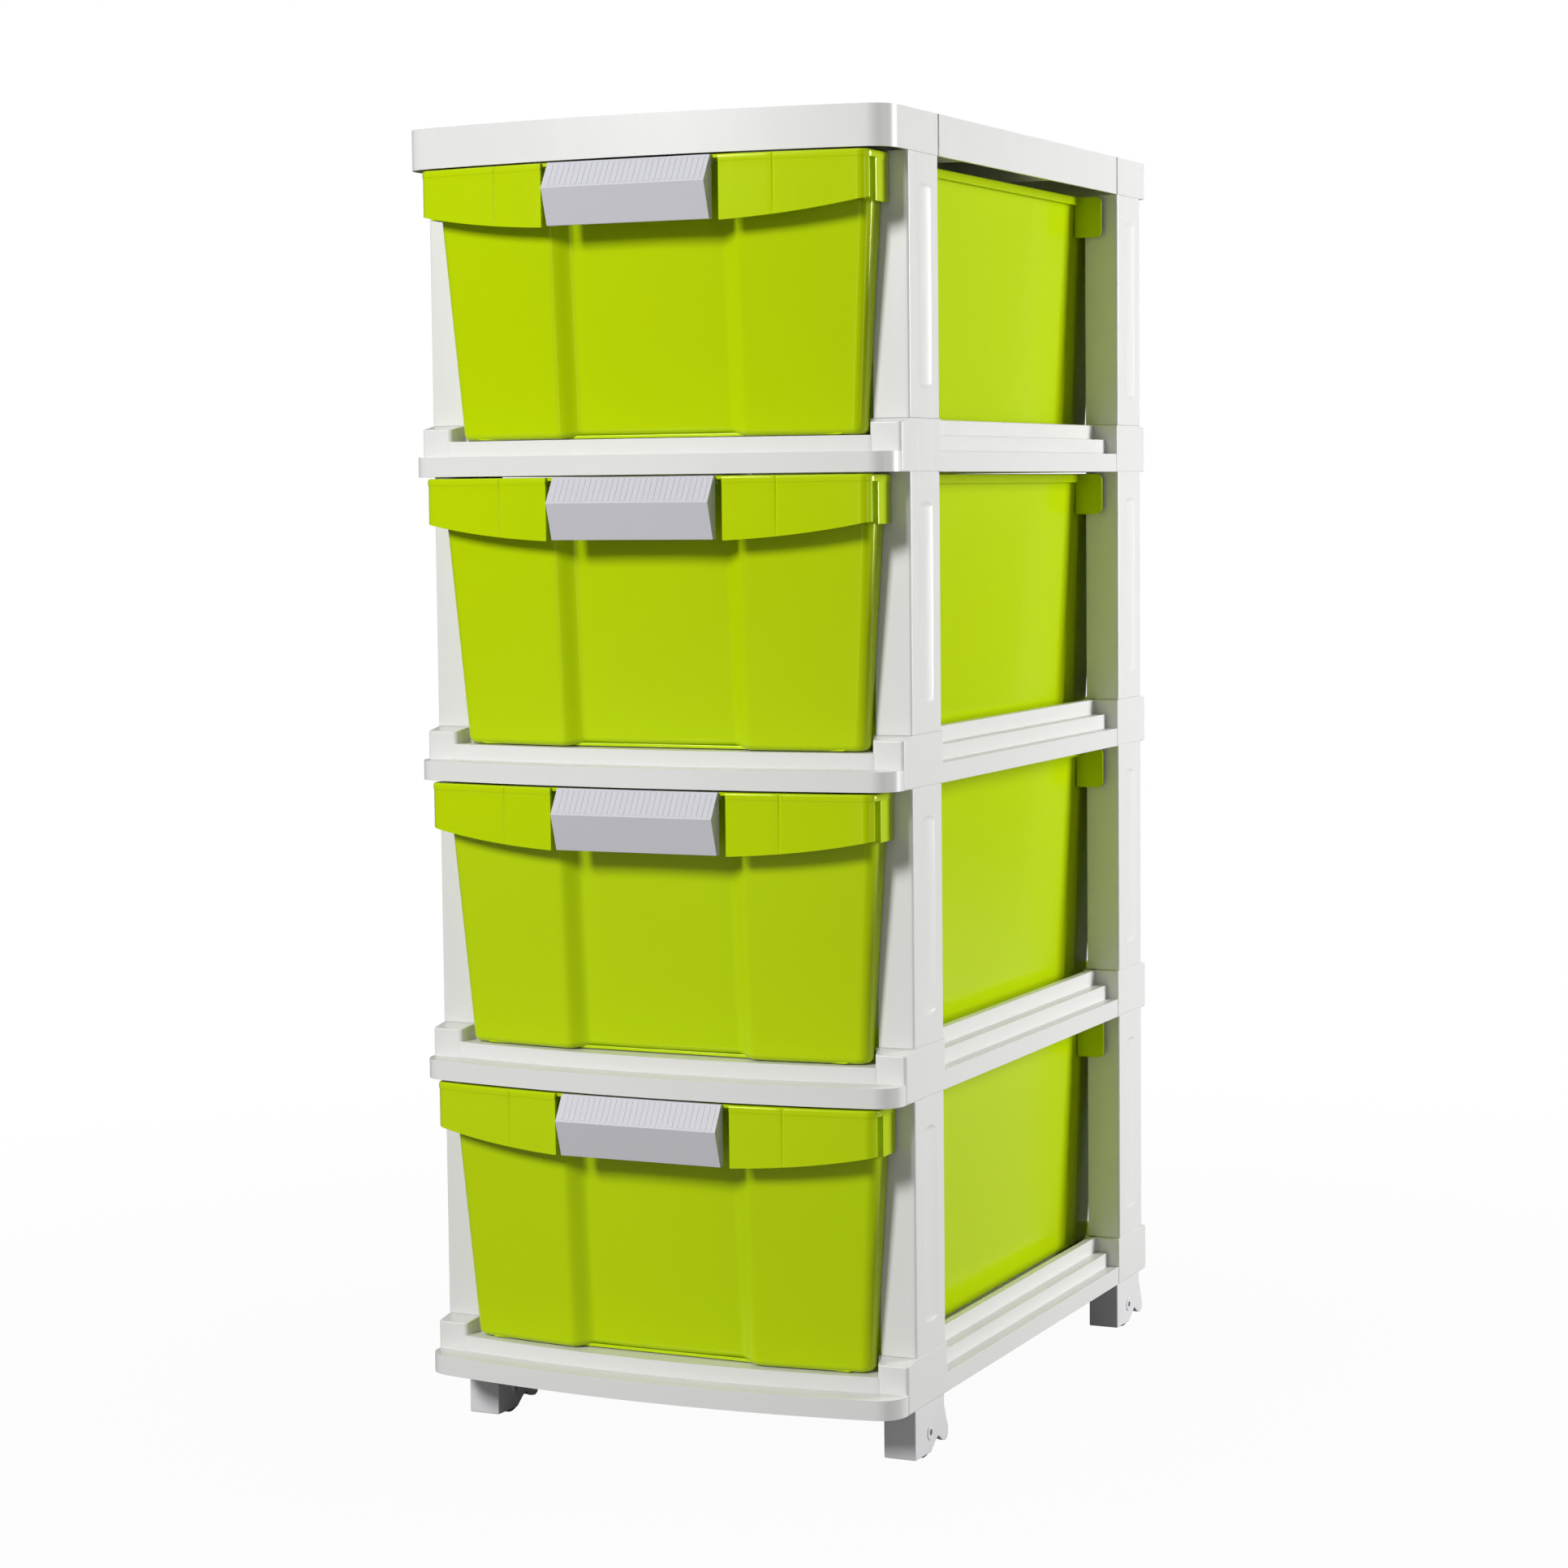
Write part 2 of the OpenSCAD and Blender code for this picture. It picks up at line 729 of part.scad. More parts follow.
module caster_hood() {
    well_w = wheel_w + 2 * wheel_gap;
    color(white)
    difference() {
        translate([-hood_w / 2, 0, 0])
            rotate([90, 0, 90])
                linear_extrude(hood_w) hood_side();
        translate([-well_w / 2, trail, wheel_r])
            rotate([0, 90, 0])
                cylinder(r = well_r, h = well_w);
        translate([-well_w / 2, trail - well_r, -past])
            cube([well_w, 2 * well_r, wheel_r + past]);
        translate([-well_w / 2, hood_t - hood_front, -past])
            cube([well_w, trail - well_r - hood_t + hood_front + past, wheel_r + past]);
        translate([-well_w / 2, trail + well_r - past, -past])
            cube([well_w, hood_rear - well_r - hood_t, hood_top * 0.6]);
        translate([-hood_w / 2 - past, trail, wheel_r])
            rotate([0, 90, 0])
                cylinder(r = axle_r, h = hood_w + 2 * past);
        cylinder(r = stem_r + run_gap, h = hood_top + past);
    }
}

module caster_axle() {
    color(steel)
    translate([-hood_w / 2, trail, wheel_r])
        rotate([0, 90, 0])
            cylinder(r = axle_r, h = hood_w);
}

module caster_wheel() {
    color(rubber)
    translate([0, trail, wheel_r])
        rotate([0, 90, 0])
            difference() {
                rotate_extrude($fn = 96)
                    polygon([
                        [axle_r + run_gap, -wheel_w / 2],
                        [wheel_r * 0.36, -wheel_w / 2],
                        [wheel_r * 0.4, dish_depth - wheel_w / 2],
                        [wheel_r * 0.74, dish_depth - wheel_w / 2],
                        [wheel_r * 0.78, -wheel_w / 2],
                        [wheel_r - 1.5, -wheel_w / 2],
                        [wheel_r, 1.5 - wheel_w / 2],
                        [wheel_r, wheel_w / 2 - 1.5],
                        [wheel_r - 1.5, wheel_w / 2],
                        [wheel_r * 0.78, wheel_w / 2],
                        [wheel_r * 0.74, wheel_w / 2 - dish_depth],
                        [wheel_r * 0.4, wheel_w / 2 - dish_depth],
                        [wheel_r * 0.36, wheel_w / 2],
                        [axle_r + run_gap, wheel_w / 2]
                    ]);
            }
}

module caster_stem() {
    stem_foot = wheel_r + sqrt(pow(well_r, 2) - pow(trail - stem_r, 2));
    color(steel) {
        translate([0, 0, stem_foot])
            cylinder(r = stem_r, h = caster_h + stem_len - stem_foot);
        translate([0, 0, caster_h - flange_t])
            cylinder(r = flange_r, h = flange_t);
    }
}

// ---- Assembly ----

in_tower(tier_z(4)) top_board();
in_tower(tier_z(0)) base_frame();
for (i = [1:3])
    in_tower(tier_z(i)) shelf_frame();
for (i = TIERS, c = CORNERS)
    in_tower(tier_z(i) + frame_h) at_corner(c) post();
for (i = TIERS) {
    in_tower(tier_z(i) + drawer_foot) drawer();
    in_tower(tier_z(i) + drawer_foot) handle();
}
for (c = CORNERS) {
    in_tower(0) at_stem(c) caster_hood();
    in_tower(0) at_stem(c) caster_axle();
    in_tower(0) at_stem(c) caster_wheel();
    in_tower(0) at_stem(c) caster_stem();
}
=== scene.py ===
import math

import bmesh
import bpy
from mathutils import Matrix, Vector


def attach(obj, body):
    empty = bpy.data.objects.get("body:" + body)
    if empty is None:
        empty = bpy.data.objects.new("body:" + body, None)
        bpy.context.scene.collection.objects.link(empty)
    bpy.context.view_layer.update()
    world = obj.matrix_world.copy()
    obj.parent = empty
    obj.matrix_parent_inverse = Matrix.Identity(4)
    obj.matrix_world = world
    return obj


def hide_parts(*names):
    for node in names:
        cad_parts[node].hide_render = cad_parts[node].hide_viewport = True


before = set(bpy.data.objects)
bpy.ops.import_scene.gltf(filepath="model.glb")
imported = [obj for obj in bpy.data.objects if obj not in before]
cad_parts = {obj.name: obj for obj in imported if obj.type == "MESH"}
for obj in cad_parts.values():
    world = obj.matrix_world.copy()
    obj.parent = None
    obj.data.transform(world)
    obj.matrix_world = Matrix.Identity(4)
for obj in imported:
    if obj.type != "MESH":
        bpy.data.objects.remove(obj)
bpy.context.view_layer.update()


# ---------------------------------------------------------------------------
# Camera. A long lens stands to the right of the tower's front, a little above
# its middle, and looks down on it slightly.
swing, tilt, roll = math.radians(24.55), math.radians(4.735), math.radians(-0.593)
ahead = Vector((-math.sin(swing) * math.cos(tilt), math.cos(swing) * math.cos(tilt), -math.sin(tilt)))
across = Vector((math.cos(swing), math.sin(swing), 0))
downward = ahead.cross(across)
level_x = across * math.cos(roll) - downward * math.sin(roll)
level_y = -(across * math.sin(roll) + downward * math.cos(roll))
lens = bpy.data.cameras.new("tower_lens")
lens.lens = 81.73
lens.sensor_width = 36.0
lens.clip_end = 60.0
camera = bpy.data.objects.new("tower_camera", lens)
bpy.context.scene.collection.objects.link(camera)
eye = (1.1554, -2.5567, 0.7086)
turned = Matrix((level_x, level_y, -ahead)).transposed().to_4x4()
camera.matrix_world = Matrix.Translation(eye) @ turned
bpy.context.scene.camera = camera
bpy.context.scene.view_settings.view_transform = "Standard"


# ---------------------------------------------------------------------------
# Studio. A wide pale floor runs back under the tower. The main soft box stands
# at the front left and a tall panel on the right. A box at the front right, a
# low strip in front and a box above only lift the shadows.
bpy.ops.object.select_all(action="DESELECT")
bpy.ops.mesh.primitive_plane_add(size=24, location=(0, 0, 0))
studio_floor = bpy.context.object
studio_floor.name = "studio_floor"

paper = bpy.data.materials.new("floor_paper")
paper.use_nodes = True
pnodes, plinks = paper.node_tree.nodes, paper.node_tree.links
pnodes.clear()
paper_out = pnodes.new("ShaderNodeOutputMaterial")
paper_skin = pnodes.new("ShaderNodeBsdfPrincipled")
paper_skin.inputs["Base Color"].default_value = (0.24, 0.24, 0.245, 1)
paper_skin.inputs["Roughness"].default_value = 0.9
paper_glow = pnodes.new("ShaderNodeEmission")
paper_glow.inputs["Color"].default_value = (1, 1, 1, 1)
paper_glow.inputs["Strength"].default_value = 1.0
paper_ray = pnodes.new("ShaderNodeLightPath")
paper_share = pnodes.new("ShaderNodeMath")
paper_share.operation = "MULTIPLY"
paper_place = pnodes.new("ShaderNodeTexCoord")
paper_reach = pnodes.new("ShaderNodeVectorMath")
paper_reach.operation = "LENGTH"
paper_fade = pnodes.new("ShaderNodeMapRange")
paper_fade.inputs["From Min"].default_value = 0.35
paper_fade.inputs["From Max"].default_value = 1.5
paper_fade.inputs["To Min"].default_value = 0.965
paper_fade.inputs["To Max"].default_value = 1.0
plinks.new(paper_place.outputs["Object"], paper_reach.inputs[0])
plinks.new(paper_reach.outputs["Value"], paper_fade.inputs["Value"])
plinks.new(paper_fade.outputs["Result"], paper_share.inputs[1])
paper_mix = pnodes.new("ShaderNodeMixShader")
plinks.new(paper_ray.outputs["Is Camera Ray"], paper_share.inputs[0])
plinks.new(paper_share.outputs[0], paper_mix.inputs["Fac"])
plinks.new(paper_skin.outputs[0], paper_mix.inputs[1])
plinks.new(paper_glow.outputs[0], paper_mix.inputs[2])
plinks.new(paper_mix.outputs[0], paper_out.inputs["Surface"])
studio_floor.data.materials.append(paper)

studio_air = bpy.data.worlds.new("studio_air")
studio_air.use_nodes = True
anodes, alinks = studio_air.node_tree.nodes, studio_air.node_tree.links
anodes.clear()
air_out = anodes.new("ShaderNodeOutputWorld")
air_dim = anodes.new("ShaderNodeBackground")
air_dim.inputs["Color"].default_value = (0.93, 0.95, 1.0, 1)
air_dim.inputs["Strength"].default_value = 0.09
air_white = anodes.new("ShaderNodeBackground")
air_white.inputs["Color"].default_value = (1, 1, 1, 1)
air_white.inputs["Strength"].default_value = 1.0
air_ray = anodes.new("ShaderNodeLightPath")
air_mix = anodes.new("ShaderNodeMixShader")
alinks.new(air_ray.outputs["Is Camera Ray"], air_mix.inputs["Fac"])
alinks.new(air_dim.outputs[0], air_mix.inputs[1])
alinks.new(air_white.outputs[0], air_mix.inputs[2])
alinks.new(air_mix.outputs[0], air_out.inputs["Surface"])
bpy.context.scene.world = studio_air


def soft_box(name, place, aim, width, height, watts):
    """A rectangular lamp at a place, facing a point of the tower."""
    lamp = bpy.data.lights.new(name, "AREA")
    lamp.shape = "RECTANGLE"
    lamp.size, lamp.size_y = width, height
    lamp.energy = watts
    holder = bpy.data.objects.new(name, lamp)
    bpy.context.scene.collection.objects.link(holder)
    holder.location = place
    holder.rotation_euler = (Vector(aim) - Vector(place)).to_track_quat("-Z", "Y").to_euler()


soft_box("box_front_left", place=(-1.34, -3.55, 2.3), aim=(0, -0.25, 0.5), width=0.9, height=0.9, watts=136)
soft_box("panel_right", place=(2.3, 1.40, 1.0), aim=(0.15, 0, 0.55), width=0.9, height=1.4, watts=78)
soft_box("box_front_right", place=(3.2, -1.2, 0.9), aim=(0.1, 0, 0.5), width=0.5, height=1.5, watts=7)
soft_box("strip_front", place=(0.30, -2.75, 0.75), aim=(0.05, -0.25, 0.6), width=0.25, height=1.6, watts=3)
soft_box("box_above", place=(-0.2, -0.4, 3.4), aim=(0, 0, 0.5), width=1.4, height=1.4, watts=14)


# ---------------------------------------------------------------------------
# Moulded plastic. Every shell of the tower is injection moulded polypropylene:
# a smooth skin with a faint orange peel, slow clouds of tint and light rub marks.
def make_moulded_skin():
    """The shader group of a moulded skin: its fine height, its clouds of tint and its rub marks."""
    skin = bpy.data.node_groups.new("moulded_skin", "ShaderNodeTree")
    skin.interface.new_socket("Place", in_out="INPUT", socket_type="NodeSocketVector")
    skin.interface.new_socket("Peel Scale", in_out="INPUT", socket_type="NodeSocketFloat")
    skin.interface.new_socket("Cloud Scale", in_out="INPUT", socket_type="NodeSocketFloat")
    skin.interface.new_socket("Height", in_out="OUTPUT", socket_type="NodeSocketFloat")
    skin.interface.new_socket("Cloud", in_out="OUTPUT", socket_type="NodeSocketFloat")
    skin.interface.new_socket("Rub", in_out="OUTPUT", socket_type="NodeSocketFloat")
    n, l = skin.nodes, skin.links
    gin, gout = n.new("NodeGroupInput"), n.new("NodeGroupOutput")
    peel = n.new("ShaderNodeTexNoise")
    peel.inputs["Detail"].default_value = 2.0
    peel.inputs["Roughness"].default_value = 0.45
    cloud = n.new("ShaderNodeTexNoise")
    cloud.inputs["Detail"].default_value = 3.0
    stretch = n.new("ShaderNodeVectorMath")
    stretch.operation = "MULTIPLY"
    stretch.inputs[1].default_value = (1.0, 1.0, 0.12)
    rub = n.new("ShaderNodeTexNoise")
    rub.inputs["Scale"].default_value = 160.0
    rub.inputs["Detail"].default_value = 6.0
    rub.inputs["Roughness"].default_value = 0.7
    rub_range = n.new("ShaderNodeMapRange")
    rub_range.inputs["From Min"].default_value = 0.48
    rub_range.inputs["From Max"].default_value = 0.78
    l.new(gin.outputs["Place"], peel.inputs["Vector"])
    l.new(gin.outputs["Place"], cloud.inputs["Vector"])
    l.new(gin.outputs["Place"], stretch.inputs[0])
    l.new(gin.outputs["Peel Scale"], peel.inputs["Scale"])
    l.new(gin.outputs["Cloud Scale"], cloud.inputs["Scale"])
    l.new(stretch.outputs[0], rub.inputs["Vector"])
    l.new(rub.outputs["Fac"], rub_range.inputs["Value"])
    l.new(peel.outputs["Fac"], gout.inputs["Height"])
    l.new(cloud.outputs["Fac"], gout.inputs["Cloud"])
    l.new(rub_range.outputs["Result"], gout.inputs["Rub"])
    return skin


moulded_skin = make_moulded_skin()


def moulded_plastic(name, pale, deep, smooth, worn, peel_scale, peel_depth):
    """Plastic whose tint drifts from pale to deep and whose gloss falls where it is rubbed."""
    plastic = bpy.data.materials.new(name)
    plastic.use_nodes = True
    n, l = plastic.node_tree.nodes, plastic.node_tree.links
    n.clear()
    out = n.new("ShaderNodeOutputMaterial")
    shell = n.new("ShaderNodeBsdfPrincipled")
    shell.inputs["IOR"].default_value = 1.49
    place = n.new("ShaderNodeTexCoord")
    skin = n.new("ShaderNodeGroup")
    skin.node_tree = moulded_skin
    skin.inputs["Peel Scale"].default_value = peel_scale
    skin.inputs["Cloud Scale"].default_value = 5.0
    tint = n.new("ShaderNodeMix")
    tint.data_type = "RGBA"
    tint.inputs["A"].default_value = (*pale, 1)
    tint.inputs["B"].default_value = (*deep, 1)
    gloss = n.new("ShaderNodeMapRange")
    gloss.inputs["To Min"].default_value = smooth
    gloss.inputs["To Max"].default_value = worn
    bump = n.new("ShaderNodeBump")
    bump.inputs["Strength"].default_value = 0.35
    bump.inputs["Distance"].default_value = peel_depth
    l.new(place.outputs["Object"], skin.inputs["Place"])
    l.new(skin.outputs["Cloud"], tint.inputs["Factor"])
    l.new(tint.outputs["Result"], shell.inputs["Base Color"])
    l.new(skin.outputs["Rub"], gloss.inputs["Value"])
    l.new(gloss.outputs["Result"], shell.inputs["Roughness"])
    l.new(skin.outputs["Height"], bump.inputs["Height"])
    l.new(bump.outputs["Normal"], shell.inputs["Normal"])
    l.new(shell.outputs[0], out.inputs["Surface"])
    return plastic


# ---------------------------------------------------------------------------
# Top board. A hollow white moulding with a bowed front, a deep skirt, ribs below
# and a seam in each side skirt where the corner pocket of a post begins.
frame_white = moulded_plastic(
    "frame_white", pale=(0.755, 0.75, 0.735), deep=(0.73, 0.725, 0.71),
    smooth=0.30, worn=0.40, peel_scale=700, peel_depth=0.00005,
)
bow_radius = 1.0
post_front, post_rear = -0.2303, 0.2697
half_width = 0.193
frame_reach, frame_rear = 0.053, 0.2807
frame_corner, frame_wall = 0.020, 0.0025
tier_pitch = 0.2245
floor_gap = 0.0465
top_low = floor_gap + 4 * tier_pitch
top_high = top_low + 0.0295


def bow(x):
    """How far the bowed front has fallen back at x."""
    return bow_radius - math.sqrt(bow_radius ** 2 - x ** 2)


def only(*pieces):
    """Leaves just these pieces selected, with the first one active."""
    if bpy.context.mode != "OBJECT":
        bpy.ops.object.mode_set(mode="OBJECT")
    bpy.ops.object.select_all(action="DESELECT")
    for piece in pieces:
        piece.select_set(True)
    bpy.context.view_layer.objects.active = pieces[0]


def block(name, low, high):
    """A box from its lowest to its highest corner."""
    bpy.ops.object.select_all(action="DESELECT")
    middle = [(a + b) / 2 for a, b in zip(low, high)]
    bpy.ops.mesh.primitive_cube_add(size=1, location=middle, scale=[b - a for a, b in zip(low, high)])
    box = bpy.context.object
    box.name = name
    bpy.ops.object.transform_apply(location=True, rotation=True, scale=True)
    return box


def pick(piece, kind, wanted):
    """Opens the piece in edit mode with only its wanted faces or edges selected."""
    only(piece)
    bpy.ops.object.mode_set(mode="EDIT")
    bpy.ops.mesh.select_mode(type=kind)
    bpy.ops.mesh.select_all(action="DESELECT")
    shape = bmesh.from_edit_mesh(piece.data)
    for part in shape.faces if kind == "FACE" else shape.edges:
        if wanted(part):
            part.select_set(True)
    bmesh.update_edit_mesh(piece.data)


def slice_at(piece, spots, direction):
    """Cuts new edges round the whole piece where planes across the direction meet it."""
    for spot in spots:
        pick(piece, "FACE", lambda face: True)
        bpy.ops.mesh.bisect(plane_co=Vector(direction) * spot, plane_no=direction)
    only(piece)


def shape_with(piece, kind, **settings):
    """Adds one modifier and applies it."""
    only(piece)
    change = piece.modifiers.new(kind.lower(), kind)
    for key, value in settings.items():
        setattr(change, key, value)
    bpy.ops.object.modifier_apply(modifier=change.name)


def soften(piece, width, segments=2, angle=42):
    """Rounds the piece's hard edges and shades the rest smooth."""
    shape_with(
        piece, "BEVEL", width=width, segments=segments, limit_method="ANGLE",
        angle_limit=math.radians(angle), use_clamp_overlap=True, miter_outer="MITER_ARC",
    )
    only(piece)
    bpy.ops.object.shade_smooth_by_angle(angle=math.radians(38))


def join(name, *pieces):
    """Makes one piece of several."""
    only(*pieces)
    bpy.ops.object.join()
    whole = bpy.context.object
    whole.name = name
    whole.data.name = name
    return whole


def face_out(piece):
    """Merges doubled points and turns every face outwards."""
    pick(piece, "FACE", lambda face: True)
    bpy.ops.mesh.remove_doubles(threshold=0.000005)
    bpy.ops.mesh.normals_make_consistent(inside=False)
    only(piece)


def finish_piece(piece, body, plastic, slot, *nodes):
    """Gives a piece its plastic and puts it in the tower in place of its solids."""
    shape_with(piece, "WEIGHTED_NORMAL", keep_sharp=True)
    piece.data.materials.clear()
    piece.data.materials.append(plastic)
    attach(piece, body)
    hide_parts(*nodes)


def copied(piece, name, move=(0, 0, 0), flip_x=False, flip_y=False):
    """Another casting of a piece with its own mesh, moved or mirrored within the tower."""
    twin = bpy.data.objects.new(name, piece.data.copy())
    twin.data.name = name
    bpy.context.scene.collection.objects.link(twin)
    change = Matrix.Identity(4)
    if flip_x:
        change = Matrix.Scale(-1, 4, (1, 0, 0)) @ change
    if flip_y:
        change = Matrix.Translation((0, post_front + post_rear, 0)) @ Matrix.Scale(-1, 4, (0, 1, 0)) @ change
    twin.data.transform(Matrix.Translation(move) @ change)
    if flip_x != flip_y:
        twin.data.flip_normals()
    return twin


def bowed_outline(half, front, corner, steps, turn_steps):
    """Points of a bowed front edge from left to right, with its two round corners."""
    centre_y, corner_x = front + bow_radius, half - corner
    corner_y = centre_y - math.sqrt((bow_radius - corner) ** 2 - corner_x ** 2)
    turn = math.asin(corner_x / (bow_radius - corner))
    points = []
    for k in range(steps + 1):
        side = min(k, steps - k)
        if side < turn_steps:
            angle = turn + (math.pi / 2 - turn) * (turn_steps - side) / turn_steps
            x, y = corner_x + corner * math.sin(angle), corner_y - corner * math.cos(angle)
            points.append((x if k > side else -x, y))
        else:
            angle = turn * (2 * (k - turn_steps) / (steps - 2 * turn_steps) - 1)
            points.append((bow_radius * math.sin(angle), centre_y - bow_radius * math.cos(angle)))
    return points


def bowed_shell(name, half, reach, rear, low, high):
    """A top and its skirt behind a bowed front edge, drawn up from a flat grid and open below."""
    steps = 56
    bpy.ops.object.select_all(action="DESELECT")
    bpy.ops.mesh.primitive_grid_add(x_subdivisions=steps, y_subdivisions=1, size=1, location=(0, 0, low))
    shell = bpy.context.object
    shell.name = name
    bpy.ops.object.transform_apply(location=True, rotation=True, scale=True)
    edge = bowed_outline(half, post_front - reach, frame_corner, steps, 8)
    for point in shell.data.vertices:
        x, y = edge[round((point.co.x + 0.5) * steps)]
        point.co.x, point.co.y = x, y if point.co.y < 0 else rear
    pick(shell, "FACE", lambda face: True)
    bpy.ops.mesh.extrude_region_move(TRANSFORM_OT_translate={"value": (0, 0, high - low)})
    face_out(shell)
    pick(shell, "FACE", lambda face: face.normal.z < -0.5)
    bpy.ops.mesh.delete(type="FACE")
    only(shell)
    shape_with(shell, "SOLIDIFY", thickness=frame_wall, offset=-1, use_even_offset=True)
    return shell


ribs_each_way, rib_wall = 2, 0.002
rib_half, rib_front = 0.1905, post_front - 0.048


def rib_grid(name, low, high):
    """Thin ribs under a board, as many running front to back as side to side."""
    ribs = []
    for k in range(1, ribs_each_way + 1):
        x = -rib_half + 2 * rib_half * k / (ribs_each_way + 1)
        near, far = rib_front + 0.012, frame_rear - rib_wall / 2
        ribs.append(block("rib", (x - rib_wall / 2, near, low), (x + rib_wall / 2, far, high)))
    for k in range(1, ribs_each_way + 1):
        y = rib_front + (frame_rear - rib_front) * k / (ribs_each_way + 1)
        side = rib_half - rib_wall / 2
        ribs.append(block("rib", (-side, y - rib_wall / 2, low), (side, y + rib_wall / 2, high)))
    return join(name, *ribs)


top_skin = bowed_shell("top_skin", half_width, frame_reach, frame_rear, top_low, top_high)
pocket_length = 0.0585
seam_width, seam_slope, seam_depth = 0.003, 0.0006, 0.0014
seams = [
    (start, start + seam_slope, start + seam_width - seam_slope, start + seam_width)
    for start in (post_front + pocket_length - seam_width, post_rear - pocket_length)
]
slice_at(top_skin, [spot for seam in seams for spot in seam], (0, 1, 0))


def is_seam_floor(face, seam):
    """Whether a face lies in the side skirt, between a seam's two slopes."""
    middle = face.calc_center_median()
    return abs(middle.x) > half_width - 1e-4 and seam[1] - 1e-5 < middle.y < seam[2] + 1e-5


for seam in seams:
    pick(top_skin, "FACE", lambda face: is_seam_floor(face, seam))
    shape = bmesh.from_edit_mesh(top_skin.data)
    for point in shape.verts:
        if point.select:
            point.co.x -= math.copysign(seam_depth, point.co.x)
    bmesh.update_edit_mesh(top_skin.data)
soften(top_skin, width=0.0016, segments=3)
top_ribs = rib_grid("top_ribs", top_low + 0.003, top_high - 0.002)
top_board = join("top_board_moulding", top_skin, top_ribs)
finish_piece(top_board, "tower", frame_white, "white_plastic", "top_board")


# ---------------------------------------------------------------------------
# Shelf frames and base frame. Each is one white moulding: an outer step, the
# shelf that a drawer slides on, side guides, a stop at the rear and four corner
# collars that hold the posts. The base frame is the same, on casters.
frame_low = floor_gap
step_top, shelf_top, collar_top = frame_low + 0.0145, frame_low + 0.026, frame_low + 0.038
step_inset, step_rear = 0.0006, frame_rear - 0.0003
shelf_inset, shelf_reach, shelf_rear = 0.010, 0.031, frame_rear - 0.0004
let_in = 0.001
outer_step = bowed_shell("outer_step", half_width - step_inset, frame_reach, step_rear, frame_low, step_top)
soften(outer_step, width=0.0012, segments=3)
shelf_low = step_top - let_in / 2
shelf = bowed_shell("shelf", half_width - shelf_inset, shelf_reach, shelf_rear, shelf_low, shelf_top)
soften(shelf, width=0.0010, segments=3)

guide_x, guide_width, guide_inset = 0.1695, 0.007, 0.030
guides = []
for side in (-1, 1):
    guide = block(
        "guide",
        (side * guide_x - guide_width / 2, post_front + guide_inset, shelf_top - let_in),
        (side * guide_x + guide_width / 2, post_rear - guide_inset, collar_top),
    )
    soften(guide, width=0.0010, segments=3)
    guides.append(guide)
stop_half, stop_wall, stop_height = 0.166, 0.005, 0.010
rear_stop = block(
    "rear_stop",
    (-stop_half, frame_rear - stop_wall, shelf_top - let_in), (stop_half, shelf_rear, shelf_top + stop_height),
)
soften(rear_stop, width=0.0008)


def span(edge, axis):
    """How far an edge reaches along one axis."""
    return abs(edge.verts[0].co[axis] - edge.verts[1].co[axis])


post_inside = 0.165
nose_inside = post_inside + 0.001
front_nose, rear_nose = 0.016, 0.011
nose_taper, nose_fall, nose_round = 0.003, 0.0028, 0.0028
collars = []
for name, post_face, outward, reach in (
    ("front", post_front, -1, front_nose), ("rear", post_rear, 1, rear_nose),
):
    y_low, y_high = sorted((post_face, post_face - outward * pocket_length))
    collar = block(
        f"collar_{name}", (post_inside - 0.0025, y_low, frame_low + 0.0002), (half_width, y_high, collar_top)
    )
    slice_at(collar, (nose_inside,), (1, 0, 0))
    pick(collar, "FACE", lambda f: f.normal.y * outward > 0.9 and f.calc_center_median().x > nose_inside)
    bpy.ops.mesh.extrude_region_move(TRANSFORM_OT_translate={"value": (0, outward * reach, 0)})
    shape = bmesh.from_edit_mesh(collar.data)
    for point in shape.verts:
        if point.select and point.co.x < nose_inside + 0.004:
            point.co.x += nose_taper * reach / front_nose
        if point.select and point.co.z > shelf_top:
            point.co.z -= nose_fall * reach / front_nose
    bmesh.update_edit_mesh(collar.data)
    nose_y = post_face + outward * reach
    pick(collar, "EDGE", lambda e: all(abs(v.co.y - nose_y) < 1e-5 for v in e.verts) and span(e, 0) < 1e-6)
    bpy.ops.mesh.bevel(offset=nose_round, segments=4)
    only(collar)
    soften(collar, width=0.0009, segments=3, angle=30)
    collars += [collar, copied(collar, f"collar_{name}_left", flip_x=True)]
frame_ribs = rib_grid("frame_ribs", frame_low + 0.003, step_top - 0.002)
base_frame = join("base_frame_moulding", outer_step, shelf, *guides, rear_stop, *collars, frame_ribs)
finish_piece(base_frame, "tower", frame_white, "white_plastic", "base_frame")
for k in (1, 2, 3):
    shelf_frame = copied(base_frame, f"shelf_frame_moulding_{k}", (0, 0, k * tier_pitch))
    finish_piece(shelf_frame, "tower", frame_white, "white_plastic", f"shelf_frame_{k}")


# ---------------------------------------------------------------------------
# Corner posts. Each is an open white angle section with two flanges and a long
# shallow trough in its outer face. It plugs into the collars below and above it.
post_low, post_high = collar_top, floor_gap + tier_pitch
post_depth, post_wall = 0.056, 0.003
post_middle = post_front + post_depth / 2
post = block(
    "post", (half_width - post_wall, post_front, post_low), (half_width, post_front + post_depth, post_high)
)
slice_at(post, (post_front + post_wall, post_front + post_depth - post_wall), (0, 1, 0))
pick(
    post, "FACE",
    lambda f: f.normal.x < -0.9 and abs(f.calc_center_median().y - post_middle) > post_depth / 4,
)
flange_reach = post_inside - (half_width - post_wall)
bpy.ops.mesh.extrude_region_move(TRANSFORM_OT_translate={"value": (flange_reach, 0, 0)})


